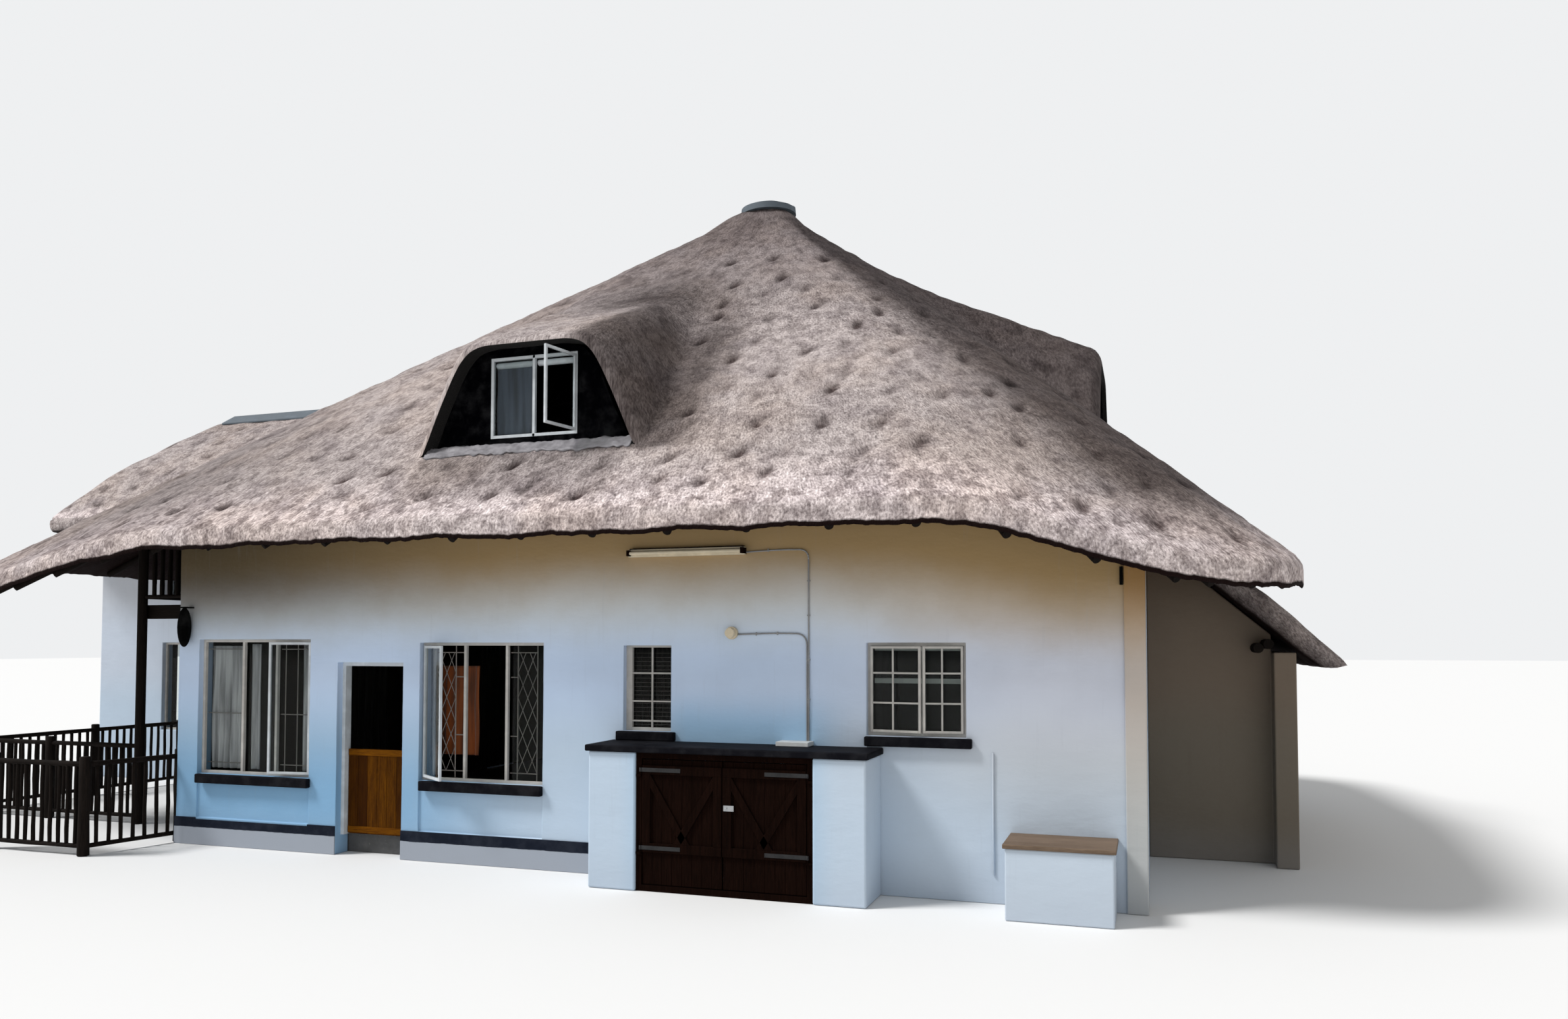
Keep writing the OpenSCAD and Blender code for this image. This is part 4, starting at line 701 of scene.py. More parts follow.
def wingThatch():
    sideCount, cornerCount, endCount, rows = 150, 12, 60, 56
    f = np.concatenate([np.linspace(0, 0.992, rows), np.full(7, 1.0), np.linspace(0.975, 0.03, 20)])
    depth = np.concatenate([np.zeros(rows), (0.008, 0.035, 0.085, 0.15, 0.2, 0.232, 0.24), np.full(20, roof["thick"])])
    out = np.concatenate([np.zeros(rows), (-0.01, 0.012, 0.016, 0.012, -0.002, -0.02, -0.05), np.full(20, -0.05)])
    flatten = wing["flat"] * ease(f / 0.08)
    bellied = f + wing["belly"] * np.sin(np.pi * f)
    c, f, depth = 0.25 * f[:, None], f[:, None], depth[:, None]  # c: radius of the corners
    h = (wing["halfWidth"] * bellied + flatten + out)[:, None]
    e = (wing["ridgeEnd"] - wing["endReach"] * bellied - flatten - out)[:, None]
    along = np.concatenate([[0], np.linspace(0, 1, sideCount - 1)])[None, :]
    turn = np.radians(np.linspace(0, 90, cornerCount + 2)[1:-1])[None, :]
    sideX = between(wing["start"], e + c, along)
    cornerX, cornerY = e + c - c * np.sin(turn), -h + c - c * np.cos(turn)
    endY = (h - c) * np.linspace(-1, 1, endCount)[None, :]
    x = np.concatenate([sideX, cornerX, e + 0 * endY, cornerX[:, ::-1], sideX[:, ::-1]], 1)
    y = np.concatenate([-h + 0 * sideX, cornerY, endY, -cornerY[:, ::-1], h + 0 * sideX], 1) + wing["middle"]
    run = np.concatenate([[0], np.cumsum(np.hypot(np.diff(x[rows]), np.diff(y[rows])))])
    none = 0 * x
    u, w = run + none, f * 3.6 + depth + none
    top = depth == 0
    dimple = patterned(u, w, 5) * top * (w > 0.4) * (w < 3.3)
    inner = np.isin(np.arange(x.shape[1]), (0, x.shape[1] - 1))  # both faces meet at the inner end, which closes it
    z = between(wing["ridge"], wing["eave"], f) - np.where(inner, roof["thick"], depth)
    z = z + (roof["unevenness"] * waves(x, y, 5, 0.8) * ease(f / 0.1) - roof["dimpleDepth"] * dimple) * top
    # the cut's foot and the underside are painted near-black as shade
    under = np.concatenate([np.zeros(rows + 4), (0.4, ), np.ones(22)])[:, None] + none
    fields = {"spread": 0.9 + none, "dimple": dimple, "edge": ease((f - 0.88) / 0.1) * top + none, "under": under,
              "stain": none}
    return makePiece("wingThatch", np.stack([x, y, z], -1), gridFaces(*x.shape), "thatch",
                     maps=np.stack([u, w], -1), fields=fields)


leanTo = {"top": (5.44, 4.08), "eave": (7.43, 2.326), "heelTop": (5.44, 3.73), "heel": (7.28, 2.144),
          "front": -2.5, "back": 2.6, "round": 0.2}


def leanToThatch():
    # the upper and the lower face meet in a half round at the eave and at both verges
    a, b = np.meshgrid(np.linspace(0, 1, 54), np.linspace(0, 1, 110), indexing="ij")
    a, b = 1 - (1 - a) ** 1.25, 0.5 - 0.5 * np.cos(np.pi * (0.5 - 0.5 * np.cos(np.pi * b)))
    length, slope = leanTo["back"] - leanTo["front"], 2.8
    near = np.minimum(np.minimum(b, 1 - b) * length, (1 - a) * slope)
    bulge = np.sqrt(np.clip(1 - (1 - np.minimum(near / leanTo["round"], 1)) ** 2, 0, 1))
    topX, topZ = [between(p, q, a) for p, q in zip(leanTo["top"], leanTo["eave"])]
    lowX, lowZ = [between(p, q, a) for p, q in zip(leanTo["heelTop"], leanTo["heel"])]
    topZ = topZ + 0.05 * np.sin(np.pi * a)
    y = leanTo["front"] + length * b
    midX, midZ = (topX + lowX) / 2 + 0.12 * a, (topZ + lowZ) / 2
    points, maps, fields = [], [], {"spread": [], "dimple": [], "edge": [], "under": [], "stain": []}
    for face, side in enumerate((1, -1)):
        x = midX + side * (topX - lowX) / 2 * bulge - 0.12 * a * bulge
        z = midZ + side * (topZ - lowZ) / 2 * bulge
        dimple = patterned(y, slope * a, 9) * bulge ** 4 * (side > 0)
        z = z + side * 0.008 * waves(x, y, 6 + face, 0.5) * bulge - roof["dimpleDepth"] * dimple
        points.append(np.stack([x, y, z], -1).reshape(-1, 3))
        around = y - 0.25 * (1 - bulge)  # on round the verge
        around = around if side > 0 else 2 * leanTo["front"] - 0.5 - around
        maps.append(np.stack([around, slope * a + 0.2 * (1 - bulge)], -1).reshape(-1, 2))
        # the lower face is painted near-black as shade, and the whole lean-to is painted darker as the main roof's
        # shade, more so underneath
        for key, value in (("spread", 0.9 + 0 * a), ("dimple", dimple),
                           ("edge", 0.6 * ease((a - 0.9) / 0.1) * (side > 0)),
                           ("under", (side < 0) * ease((bulge - 0.72) / 0.2)),
                           ("stain", 0.3 + 0.35 * (side < 0) * ease(bulge / 0.7))):
            fields[key].append(value.ravel())
    faces = gridFaces(*a.shape)
    return makePiece("leanToThatch", np.concatenate(points), np.concatenate([faces, faces + a.size]), "thatch",
                     maps=np.concatenate(maps), fields={key: np.concatenate(value) for key, value in fields.items()})


wingRoof = wingThatch()
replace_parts(wingRoof, "wing_thatch")
leanToRoof = leanToThatch()
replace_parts(leanToRoof, "lean_to_thatch")


# Mouths of the dormers: the arch runs back from the hood's edge to the face, over a ledge of thatch
def hoodWorld(hood, u, v, z):
    # back from the dormer's own directions to the house's
    if hood["way"] == "front":
        return np.stack([hood["centre"] + u, v - hood["face"], z], -1)
    return np.stack([hood["face"] - v, hood["centre"] + u, z], -1)


def surfaceUnder(hood, u, v):
    # height of the plain roof below a place in front of the face
    place = hoodWorld(hood, u, v, 0 * u)
    return roofOver(place[..., 0], place[..., 1])


for hood in hoods:
    nose = hood["nose"]
    u, v = np.meshgrid(np.linspace(-1.46, 1.46, 120), np.linspace(-nose, 0.05, 10), indexing="ij")
    soffitZ = hood["foot"] + hoodArch(hood, u) + 0.004 * waves(u, v, 12, 0.3) * ((v + nose) / 0.25)
    soffit = makePiece(hood["way"] + "DormerSoffit", hoodWorld(hood, u, v, soffitZ), gridFaces(*u.shape), "reedEnds")
    u, v = np.meshgrid(np.linspace(-1.36, 1.36, 90), np.linspace(-nose - 0.01, 0.05, 10), indexing="ij")
    ledgeZ = np.minimum(surfaceUnder(hood, u, v), hood["foot"]) - 0.002
    ledge = makePiece(hood["way"] + "DormerLedge", hoodWorld(hood, u, v, ledgeZ), gridFaces(*u.shape), "reedEnds")


# Boxes, bars and round poles
def cuboids(spans):
    # spans: x0, x1, y0, y1, z0, z1 of each
    s = np.asarray(spans, float).reshape(-1, 6)
    pick = np.array([(i & 1, 2 + (i >> 1 & 1), 4 + (i >> 2)) for i in range(8)])
    quads = np.array([(0, 2, 3, 1), (4, 5, 7, 6), (0, 1, 5, 4), (2, 6, 7, 3), (0, 4, 6, 2), (1, 3, 7, 5)])
    faces = (quads[None] + 8 * np.arange(len(s))[:, None, None]).reshape(-1, 4)
    return s[:, pick].reshape(-1, 3), faces


def turned(points, pivot, degrees):
    c, s = math.cos(math.radians(degrees)), math.sin(math.radians(degrees))
    moved = np.array(points, float)
    dx, dy = points[:, 0] - pivot[0], points[:, 1] - pivot[1]
    moved[:, 0], moved[:, 1] = pivot[0] + c * dx - s * dy, pivot[1] + s * dx + c * dy
    return moved


def rounded(piece, width, segments=2, angle=32):
    bevel = piece.modifiers.new("edges", "BEVEL")
    bevel.width, bevel.segments, bevel.harden_normals = width, segments, False
    bevel.limit_method, bevel.angle_limit = "ANGLE", math.radians(angle)
    return piece


def thickened(piece, thickness, offset):
    shell = piece.modifiers.new("thick", "SOLIDIFY")
    shell.thickness, shell.offset = thickness, offset


def boxPiece(name, spans, finish, slot, bevel=0.003, body="root", pivot=None, degrees=0):
    points, faces = cuboids(spans)
    if pivot is not None:
        points = turned(points, pivot, degrees)
    piece = makePiece(name, points, faces, finish, body, merge=0, smooth=False)
    return rounded(piece, bevel)


def rods(ends, radius, sides=12, rings=2, crook=0.0):
    # ends: N pairs of points; each pole is a tube with rounded, closed ends, slightly crooked if asked
    ends = np.asarray(ends, float).reshape(-1, 2, 3)
    radius = np.broadcast_to(np.asarray(radius, float), (len(ends),))
    length = np.linalg.norm(ends[:, 1] - ends[:, 0], axis=1)
    axis = (ends[:, 1] - ends[:, 0]) / length[:, None]
    other = np.where(np.abs(axis[:, 2:]) > 0.9, [[1.0, 0, 0]], [[0, 0, 1.0]])
    right = np.cross(axis, other)
    right /= np.linalg.norm(right, axis=1)[:, None]
    up = np.cross(right, axis)
    lip = 0.14 * radius / length
    body = lip[:, None] + (1 - 2 * lip[:, None]) * np.linspace(0, 1, rings)[None, :]
    zero = np.zeros((len(ends), 1))
    place = np.concatenate([zero, zero, body, zero + 1, zero + 1], 1)
    size = np.array([0, 0.86] + [1.0] * rings + [0.86, 0])[None, :] * radius[:, None]
    wave = 0 * place
    if crook:
        rng = np.random.default_rng(1)
        pace, phase, knots = [rng.uniform(low, high, (len(ends), 1)) for low, high in ((1, 3), (0, 6), (0, 6))]
        wave = crook * np.sin(np.pi * place * pace + phase) * np.sin(np.pi * place)
        size = size * (1 + 0.06 * np.sin(9 * place + knots))
    turn = np.linspace(0, 2 * np.pi, sides, endpoint=False)[None, None, :, None]
    centre = (ends[:, None, 0] + place[..., None] * (ends[:, 1] - ends[:, 0])[:, None]
              + wave[..., None] * right[:, None])
    ring = np.cos(turn) * right[:, None, None] + np.sin(turn) * up[:, None, None]
    points = centre[:, :, None] + size[..., None, None] * ring
    faces = gridFaces(rings + 4, sides, True)[None] + (rings + 4) * sides * np.arange(len(ends))[:, None, None]
    return points.reshape(-1, 3), faces.reshape(-1, 4)


def rodPiece(name, ends, radius, finish, sides=12, rings=2, crook=0.0):
    piece = makePiece(name, *rods(ends, radius, sides, rings, crook), finish)
    return piece


def fromCad(node, finish, slot, bevel=0.004, smooth=False):
    # a copy of a CAD node: its triangles are joined into flat faces again, and its edges rounded
    source = nodes[node]
    mesh = source.data.copy()
    with edited(mesh) as work:
        bmesh.ops.remove_doubles(work, verts=work.verts, dist=2e-5)
        bmesh.ops.dissolve_limit(work, angle_limit=math.radians(0.6), verts=work.verts, edges=work.edges)
        bmesh.ops.recalc_face_normals(work, faces=work.faces)
    first, *others = node.split("_")
    piece = linked(first + "".join(part.capitalize() for part in others) + "Shown", mesh)
    mesh.materials.clear()
    mesh.materials.append(finishes[finish])
    mesh.polygons.foreach_set("use_smooth", np.full(len(mesh.polygons), smooth))
    if smooth:
        mesh.set_sharp_from_angle(angle=math.radians(50))
    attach(piece, body_of(source) if isinstance(body_of(source), str) else "root")
    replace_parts(piece, node)
    if bevel:
        rounded(piece, bevel)
    return piece


def copies(rows, smooth=False):
    for row in rows:
        fromCad(*row, smooth)


# Front wall: one plastered face with its openings, a little uneven
frontWall = {
    "left": -6.05, "right": 5.43, "outer": -5.0, "inner": -4.77, "tall": 3.9, "cell": 0.085, "uneven": 0.0022,
    "openings": [(-5.73, -4.03, 0.87, 2.52), (-2.48, -0.87, 0.91, 2.48), (0.11, 0.665, 1.54, 2.45),
                 (2.785, 3.775, 1.56, 2.48), (-3.63, -2.71, 0.0, 2.25)],
    "panels": [(-5.73, -4.03, 0.33, 0.87), (-2.48, -0.87, 0.33, 0.91)], "panelDepth": 0.02,
}


def gridLines(low, high, cell, marks):
    # evenly spaced lines that also pass through each mark
    stops = sorted({low, high, *[m for m in marks if low < m < high]})
    lines = [np.linspace(a, b, max(2, int(round((b - a) / cell)) + 1))[:-1] for a, b in zip(stops[:-1], stops[1:])]
    return np.concatenate(lines + [[high]])


def makeFrontWall():
    spec = frontWall
    openings, panels, lip = spec["openings"], spec["panels"], 0.006
    marksX = [v for o in openings for v in o[:2]] + [v for p in panels for v in (p[0] + lip, p[1] - lip)]
    marksZ = [v for o in openings for v in o[2:]] + [v for p in panels for v in (p[2], p[2] + lip, p[3])]
    xs = gridLines(spec["left"], spec["right"], spec["cell"], marksX)
    zs = gridLines(0.0, spec["tall"], spec["cell"], marksZ)
    x, z = np.meshgrid(xs, zs, indexing="ij")
    top = roofOver(xs, 0 * xs + spec["outer"], 0.85, 14) - roof["thick"] - 0.02
    z = np.minimum(z, top[:, None])
    y = spec["outer"] + spec["uneven"] * (waves(x, z, 21, 1.3) + 0.5 * waves(x, z, 22, 0.33))
    for p in panels:
        inside = (x > p[0] + lip / 2) & (x < p[1] - lip / 2) & (z > p[2] + lip / 2) & (z < p[3] + 0.001)
        y = np.where(inside, y + spec["panelDepth"], y)
    middleX, middleZ = (xs[1:] + xs[:-1]) / 2, (zs[1:] + zs[:-1]) / 2
    solid = np.ones((len(xs) - 1, len(zs) - 1), bool)
    for x0, x1, z0, z1 in openings:
        solid &= ~(((middleX > x0) & (middleX < x1))[:, None] & ((middleZ > z0) & (middleZ < z1)))
    columns = len(zs)
    count = len(xs) * columns
    quads = gridFaces(len(xs), columns).reshape(*solid.shape, 4)
    front = quads[solid]
    back = front[:, ::-1] + count
    sides = []
    for axis in (0, 1):
        # a strip joins front and back wherever a solid cell meets an open one or the wall's edge
        edge = np.pad(solid, [(1, 1) if k == axis else (0, 0) for k in (0, 1)]).astype(int)
        step = np.diff(edge, axis=axis)
        i, j = np.nonzero(step)
        a = i * columns + j
        b = a + (1 if axis == 0 else columns)
        sides.append(np.stack([a, b, b + count, a + count], 1))
    points = np.concatenate([np.stack([x, depth, z], -1).reshape(-1, 3) for depth in (y, spec["inner"] + 0 * y)])
    piece = makePiece("frontWall", points, np.concatenate([front, back] + sides), "limewash", merge=1e-4)
    piece.data.set_sharp_from_angle(angle=math.radians(50))
    return rounded(piece, 0.009, 3, 60)


wallPiece = makeFrontWall()
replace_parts(wallPiece, "front_wall_left", "front_wall_over_door", "front_wall_right")
plastered = {"left_wall": 0.012, "right_wall": 0.012, "back_wall": 0.012, "corner_pilaster": 0.01,
             "store_piers": 0.018, "lean_to_walls": 0.014, "wing_front_wall": 0.012, "wing_back_wall": 0.012,
             "wing_end_wall": 0.012, "low_box": 0.012}  # and the rounding of each
for node, bevel in plastered.items():
    fromCad(node, "shadePaintedPlaster" if node == "lean_to_walls" else "limewash", "white_plaster", bevel)
copies((("store_top_slab", "blackPaint", "dark_paint", 0.012), ("wall_skirting", "skirtingPaint", "dark_paint", 0.004),
        ("wing_ridge_cap", "capPaint", "dark_paint", 0.02)))

# Apex cap: a shallow lid; its height is a power of the distance out, then a short skirt
cap = {"halfX": 0.42, "halfY": 0.35, "top": 9.165, "rim": 9.09, "foot": 9.0, "rows": 16, "sides": 64}
out, turn = np.meshgrid(np.linspace(0, 1, cap["rows"]), np.linspace(0, 2 * np.pi, cap["sides"], endpoint=False),
                        indexing="ij")
ringX, ringY = cap["halfX"] * out * np.cos(turn), cap["halfY"] * out * np.sin(turn)
lidZ = between(cap["top"], cap["rim"], out ** 2.4) + 0.006 * waves(ringX, ringY, 61, 0.35)
rims = [np.stack([grow * ringX[-1:], grow * ringY[-1:], cap["foot"] + 0 * turn[-1:]], -1) for grow in (1.02, 0)]
capPiece = makePiece("apexCap", np.concatenate([np.stack([ringX, ringY, lidZ], -1), *rims]),
                     gridFaces(cap["rows"] + 2, cap["sides"], True), "capPaint")
capPiece.data.set_sharp_from_angle(angle=math.radians(50))
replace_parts(capPiece, "apex_cap")
copies((("floor_slab", "concrete", "concrete", 0.004), ("loft_floor", "loftBoards", "creosoted_pole", 0.004),
        ("front_dormer_face", "darkBoards", "dark_paint", 0.003),
        ("right_dormer_face", "darkBoards", "dark_paint", 0.003)))
print("walls made")

# Sills: x0, x1, z0, z1 of each at the front, then x0, x1 and top at the back
frontSills = ((-5.70, -4.0, 0.76, 0.87), (-2.44, -0.86, 0.80, 0.91), (0.05, 0.725, 1.4453, 1.54),
              (2.775, 3.835, 1.46, 1.555))
backSills = ((-4.66, -2.94, 0.9), (-0.86, 0.86, 0.9), (2.54, 3.66, 1.56))
sills = [(x0, x1, -5.07, -5.0, z0, z1) for x0, x1, z0, z1 in frontSills]
sills += [(x0, x1, 5.0, 5.07, z - 0.11, z) for x0, x1, z in backSills]
sillPiece = makePiece("windowSills", *cuboids(sills), "blackPaint", merge=0, smooth=False)
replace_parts(rounded(sillPiece, 0.012), "window_sills")

# Poles, balcony and rails
fromCad("rafter_poles", "creosote", "creosoted_pole", 0.006, smooth=True)
fromCad("balcony_floor", "creosoteAlongX", "creosoted_pole", 0.005)
rails = {"postRadius": 0.0625, "baluster": 0.0225, "gap": 0.13,
         "yardPosts": [(-10.9, -0.2628), (-10.9, -2.13), (-10.9, -4.06), (-9.4, -4.06)],
         "frontPosts": [(-7.82, -6.0), (-6.35, -6.0), (-6.1128, -4.9)], "postHeight": 1.15, "yardRail": 1.06}


def railRun(p, q, z, height):
    # ends and radii of two rails and the balusters between them
    p, q = np.array(p, float), np.array(q, float)
    number = int(np.linalg.norm(q - p) / rails["gap"])
    spots = p + (q - p) * (np.arange(1, number) / number)[:, None]
    ends = [((*p, z + height), (*q, z + height)), ((*p, z + 0.11), (*q, z + 0.11))]
    ends += [((x, y, z + 0.11), (x, y, z + height)) for x, y in spots]
    return ends, [1.4 * rails["baluster"], 1.2 * rails["baluster"]] + [rails["baluster"]] * len(spots)


def fence(name, node, runs, posts, tall, z=0.0, height=None):
    ends, radii = [], []
    for p, q in runs:
        more, sizes = railRun(p, q, z, height)
        ends += more
        radii += sizes
    for x, y in posts:
        ends.append(((x, y, 0.0), (x, y, tall)))
        radii.append(rails["postRadius"])
    piece = rodPiece(name, ends, np.array(radii), "creosote", rings=6, crook=0.006)
    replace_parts(piece, node)


for name, node, posts, more in (("yardFence", "yard_rails", rails["yardPosts"], [(-7.8003, -4.0628)]),
                               ("terraceFence", "terrace_rails", rails["frontPosts"], [])):
    line = posts + more
    fence(name, node, zip(line[:-1], line[1:]), posts, rails["postHeight"], 0, rails["yardRail"])
balcony = [((-7.675, -4.0628), (-6.0503, -4.0628)), ((-7.74, -4.0), (-7.74, -0.2003))]
fence("balconyFence", "balcony_rails", balcony, [], 0, 3.0, 0.9)
fromCad("balcony_posts", "creosote", "creosoted_pole", 0.008, smooth=True)
print("poles and rails made")

# Windows
for node in ("left_window_frame", "rear_window_frames"):
    fromCad(node, "framePaint", "white_steel", 0.003)
fromCad("window_glass", "windowGlass", "clear_glass", 0)


frameY, barY, sashY = (-4.93, -4.89), (-4.926, -4.9), -4.9303


def windowFrame(name, node, x0, x1, z0, z1, posts, bar=0.033):
    # a fixed frame with uprights centred on the given lines
    spans = [(c - bar / 2, c + bar / 2, *frameY, z0 + bar, z1 - bar) for c in (x0 + bar / 2, *posts, x1 - bar / 2)]
    spans += [(x0, x1, *frameY, z, z + bar) for z in (z0, z1 - bar)]
    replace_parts(boxPiece(name, spans, "framePaint", "white_steel", 0.0025), node)


windowFrame("middleFrame", "middle_window_frame", -2.48, -0.87, 0.91, 2.48, (-1.921, -1.376))
windowFrame("rightFrame", "right_window_frame", 2.785, 3.775, 1.56, 2.48, (3.345,))
narrow = [(0.11, 0.18, *frameY, 1.54, 2.45), (0.645, 0.665, *frameY, 1.54, 2.45), (0.18, 0.645, *frameY, 1.54, 1.575),
          (0.18, 0.645, *frameY, 2.428, 2.45), (0.404, 0.42, *barY, 1.575, 2.428)]
narrow += [(a, b, *barY, z, z + 0.016) for z in (1.636, 1.846, 2.146) for a, b in ((0.18, 0.404), (0.42, 0.645))]
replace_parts(boxPiece("smallFrame", narrow, "framePaint", "white_steel", 0.002), "small_window_frame")


def casement(name, x, y, z0, z1, width, degrees, hand, bar=0.03, deep=0.028, mid=(), uprights=(), finish="whitePaint"):
    # a glazed light that stands open about its outer edge; hand is -1 where it hangs at the right
    a, b = (0, width) if hand > 0 else (-width, 0)
    outer, inner = (-deep, 0), (-deep + 0.006, -0.006)
    spans = [(a, a + bar, *outer, z0, z1), (b - bar, b, *outer, z0, z1),
             (a + bar, b - bar, *outer, z0, z0 + bar), (a + bar, b - bar, *outer, z1 - bar, z1)]
    spans += [(a + bar, b - bar, *inner, h - 0.009, h + 0.009) for h in mid]
    spans += [(hand * u - 0.009, hand * u + 0.009, *inner, z0 + bar, z1 - bar) for u in uprights]
    lap = bar * 0.7  # the pane reaches under the frame
    pane = [(a + lap, b - lap, -deep / 2 - 0.002, -deep / 2 + 0.002, z0 + lap, z1 - lap)]
    shift, turn = np.array([x, x, y, y, 0, 0]), {"pivot": (x, y), "degrees": degrees}
    frame = boxPiece(name + "Frame", np.array(spans) + shift, finish, "white_steel", 0.0025, **turn)
    boxPiece(name + "Pane", np.array(pane) + shift, "windowGlass", "clear_glass", 0.0005, **turn)
    return frame


leftSash = casement("leftSash", -4.065, sashY, 0.905, 2.485, 0.561, 8, -1)
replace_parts(leftSash, "open_sashes")
casement("middleSash", -2.445, sashY, 0.945, 2.445, 0.551, -35, 1)
for name, x, hand, width, upright in (("rightSashLeft", 2.82, 1, 0.525, 0.235),
                                      ("rightSashRight", 3.74, -1, 0.392, 0.205)):
    casement(name, x, sashY, 1.595, 2.445, width, -8 * hand, hand, 0.024, 0.026, (1.885, 2.18), (upright, ),
             "framePaint")

# Security bars behind the glass: flat uprights, cross bars, and a lattice in the middle window
flat, bars = 0.006, []
barY = (-4.878, -4.871)
crossY = (barY[1], barY[1] + 0.006)
for x in (-4.50, -4.32):
    bars.append((x - flat, x + flat, *barY, 0.905, 2.485))
for low, high in ((-5.695, -5.12), (-4.57, -4.065)):
    for z in (1.0, 1.61, 2.40):
        bars.append((low, high, *crossY, z - flat, z + flat))
lattice = {"low": 1.02, "high": 2.367, "wide": 0.25, "rise": 0.28}
diagonals = []
for frameX, barX, farX in ((-1.938, -2.078, -2.328), (-1.359, -1.263, -1.013)):
    for x in (barX, farX):
        bars.append((x - flat, x + flat, *barY, 0.945, 2.445))
    crossed = ((lattice["low"], farX), (lattice["high"], farX), (1.43, barX), (2.09, barX))
    for z, end in crossed:
        bars.append((min(frameX, end), max(frameX, end), *crossY, z - flat, z + flat))
    side = math.copysign(lattice["wide"], farX - barX)
    for k, way in [(k, way) for k in range(-2, 5) for way in (1, -1)]:
        # a line that climbs two diamonds while it crosses the strip, cut to the strip's height
        za, zb = lattice["low"] + lattice["rise"] * k, lattice["low"] + lattice["rise"] * (k + 2)
        cut = [(np.clip(z, lattice["low"], lattice["high"]) - za) / (zb - za) for z in (za, zb)]
        if cut[1] - cut[0] > 0.02:
            y = barY[0] + (0.0025 if way > 0 else 0.0065)
            diagonals.append([(barX + side * (f if way > 0 else 1 - f), y, za + f * (zb - za)) for f in cut])
boxPiece("securityBars", bars, "barPaint", "white_steel", 0.0012)
rodPiece("latticeBars", diagonals, 0.0042, "barPaint", sides=6)


# Curtains hang in folds: depth is a sine of the distance along the rail, deeper towards the foot
def curtain(name, x0, x1, z0, z1, y, finish, folds, depth, restsOn, along="x"):
    s, h = np.meshgrid(np.linspace(0, 1, 14 * folds + 1), np.linspace(0, 1, 34), indexing="ij")
    phase = 2 * np.pi * folds * s + 0.9 * np.sin(5.3 * s) + 0.25 * h
    wave = depth * (0.45 + 0.55 * h) * (np.sin(phase) + 0.25 * np.sin(2.1 * phase + 1.3))
    x = x0 + (x1 - x0) * (s + 0.012 * np.sin(7 * h + 9 * s)) + 0.2 * depth * np.cos(phase)
    order = (x, y + wave) if along == "x" else (y + wave, x)
    points = np.stack([*order, z1 - (z1 - z0) * h], -1)
    piece = makePiece(name, points, gridFaces(*s.shape), finish, merge=0)
    thickened(piece, 0.0012, 0)


# name, two ends along the wall, foot, head, place across the wall, finish, folds, their depth, what it hangs on
hangings = (
    ("leftCurtain", -5.68, -5.13, 0.93, 2.44, -4.835, "paleCurtain", 6, 0.022, "left_window_frame"),
    ("leftCurtainEdge", -5.08, -4.93, 0.93, 2.46, -4.82, "paleCurtain", 2, 0.02, "left_window_frame"),
    ("rightCurtain", -4.28, -4.06, 0.93, 2.46, -4.835, "paleCurtain", 3, 0.02, "left_window_frame"),
    ("middleCurtain", -2.42, -2.30, 0.96, 2.42, -4.84, "paleCurtain", 2, 0.016, "middle_window_frame"),
    ("dormerNet", -1.73, -1.23, 4.88, 5.68, -4.63, "netCurtain", 2, 0.003, "front_dormer_window"),
    ("amberDrape", -2.42, -1.91, 1.18, 2.21, -4.66, "amberCurtain", 4, 0.02, "middle_window_frame"),
    # near-black curtains over the back and side openings, painted shade for the dark rooms
    ("backCurtain1", -4.75, -2.85, 0.8, 2.58, 4.72, "darkCurtain", 12, 0.02, "back_wall"),
    ("backCurtain2", -0.95, 0.95, 0.8, 2.58, 4.72, "darkCurtain", 12, 0.02, "back_wall"),
    ("backCurtain3", 2.45, 3.75, 1.5, 2.58, 4.72, "darkCurtain", 12, 0.02, "back_wall"),
    ("sideCurtain", -4.0, -2.8, 1.5, 2.58, 5.14, "darkCurtain", 9, 0.018, "right_wall", "y"),
    ("verandahCurtain", -3.0, -1.35, 0.26, 2.4, -5.79, "darkCurtain", 11, 0.018, "left_wall", "y"),
    ("balconyCurtain", -2.8, -1.55, 3.02, 4.98, -5.79, "darkCurtain", 9, 0.018, "left_wall", "y"),
    ("wingDoorCurtain", 1.1, 2.42, 0.26, 2.4, -5.79, "darkCurtain", 9, 0.018, "left_wall", "y"))
for row in hangings:
    curtain(*row)

# A slatted blind behind the narrow window, and a drawn-up one behind the right window
slats = [(0.15, 0.625, -4.86, -4.836, z, z + 0.0025) for z in np.arange(1.60, 2.40, 0.045)]
boxPiece("blindSlats", slats, "barPaint", "grey_metal", 0.0006)
blindRails = [(2.84, 3.72, -4.87, -4.85, z, z + high) for z, high in ((2.075, 0.05), (2.40, 0.04))]
boxPiece("blindRails", blindRails, "framePaint", "grey_metal", 0.002)
print("windows made")

# Stable door
door = {"x0": -3.578, "x1": -2.762, "outer": -4.85, "inner": -4.81, "low": 0.23, "split": 1.23, "high": 2.198,
        "hinge": (-2.7585, -4.798), "boards": 6, "open": -88}
fromCad("door_frame", "whitePaint", "white_steel", 0.004)


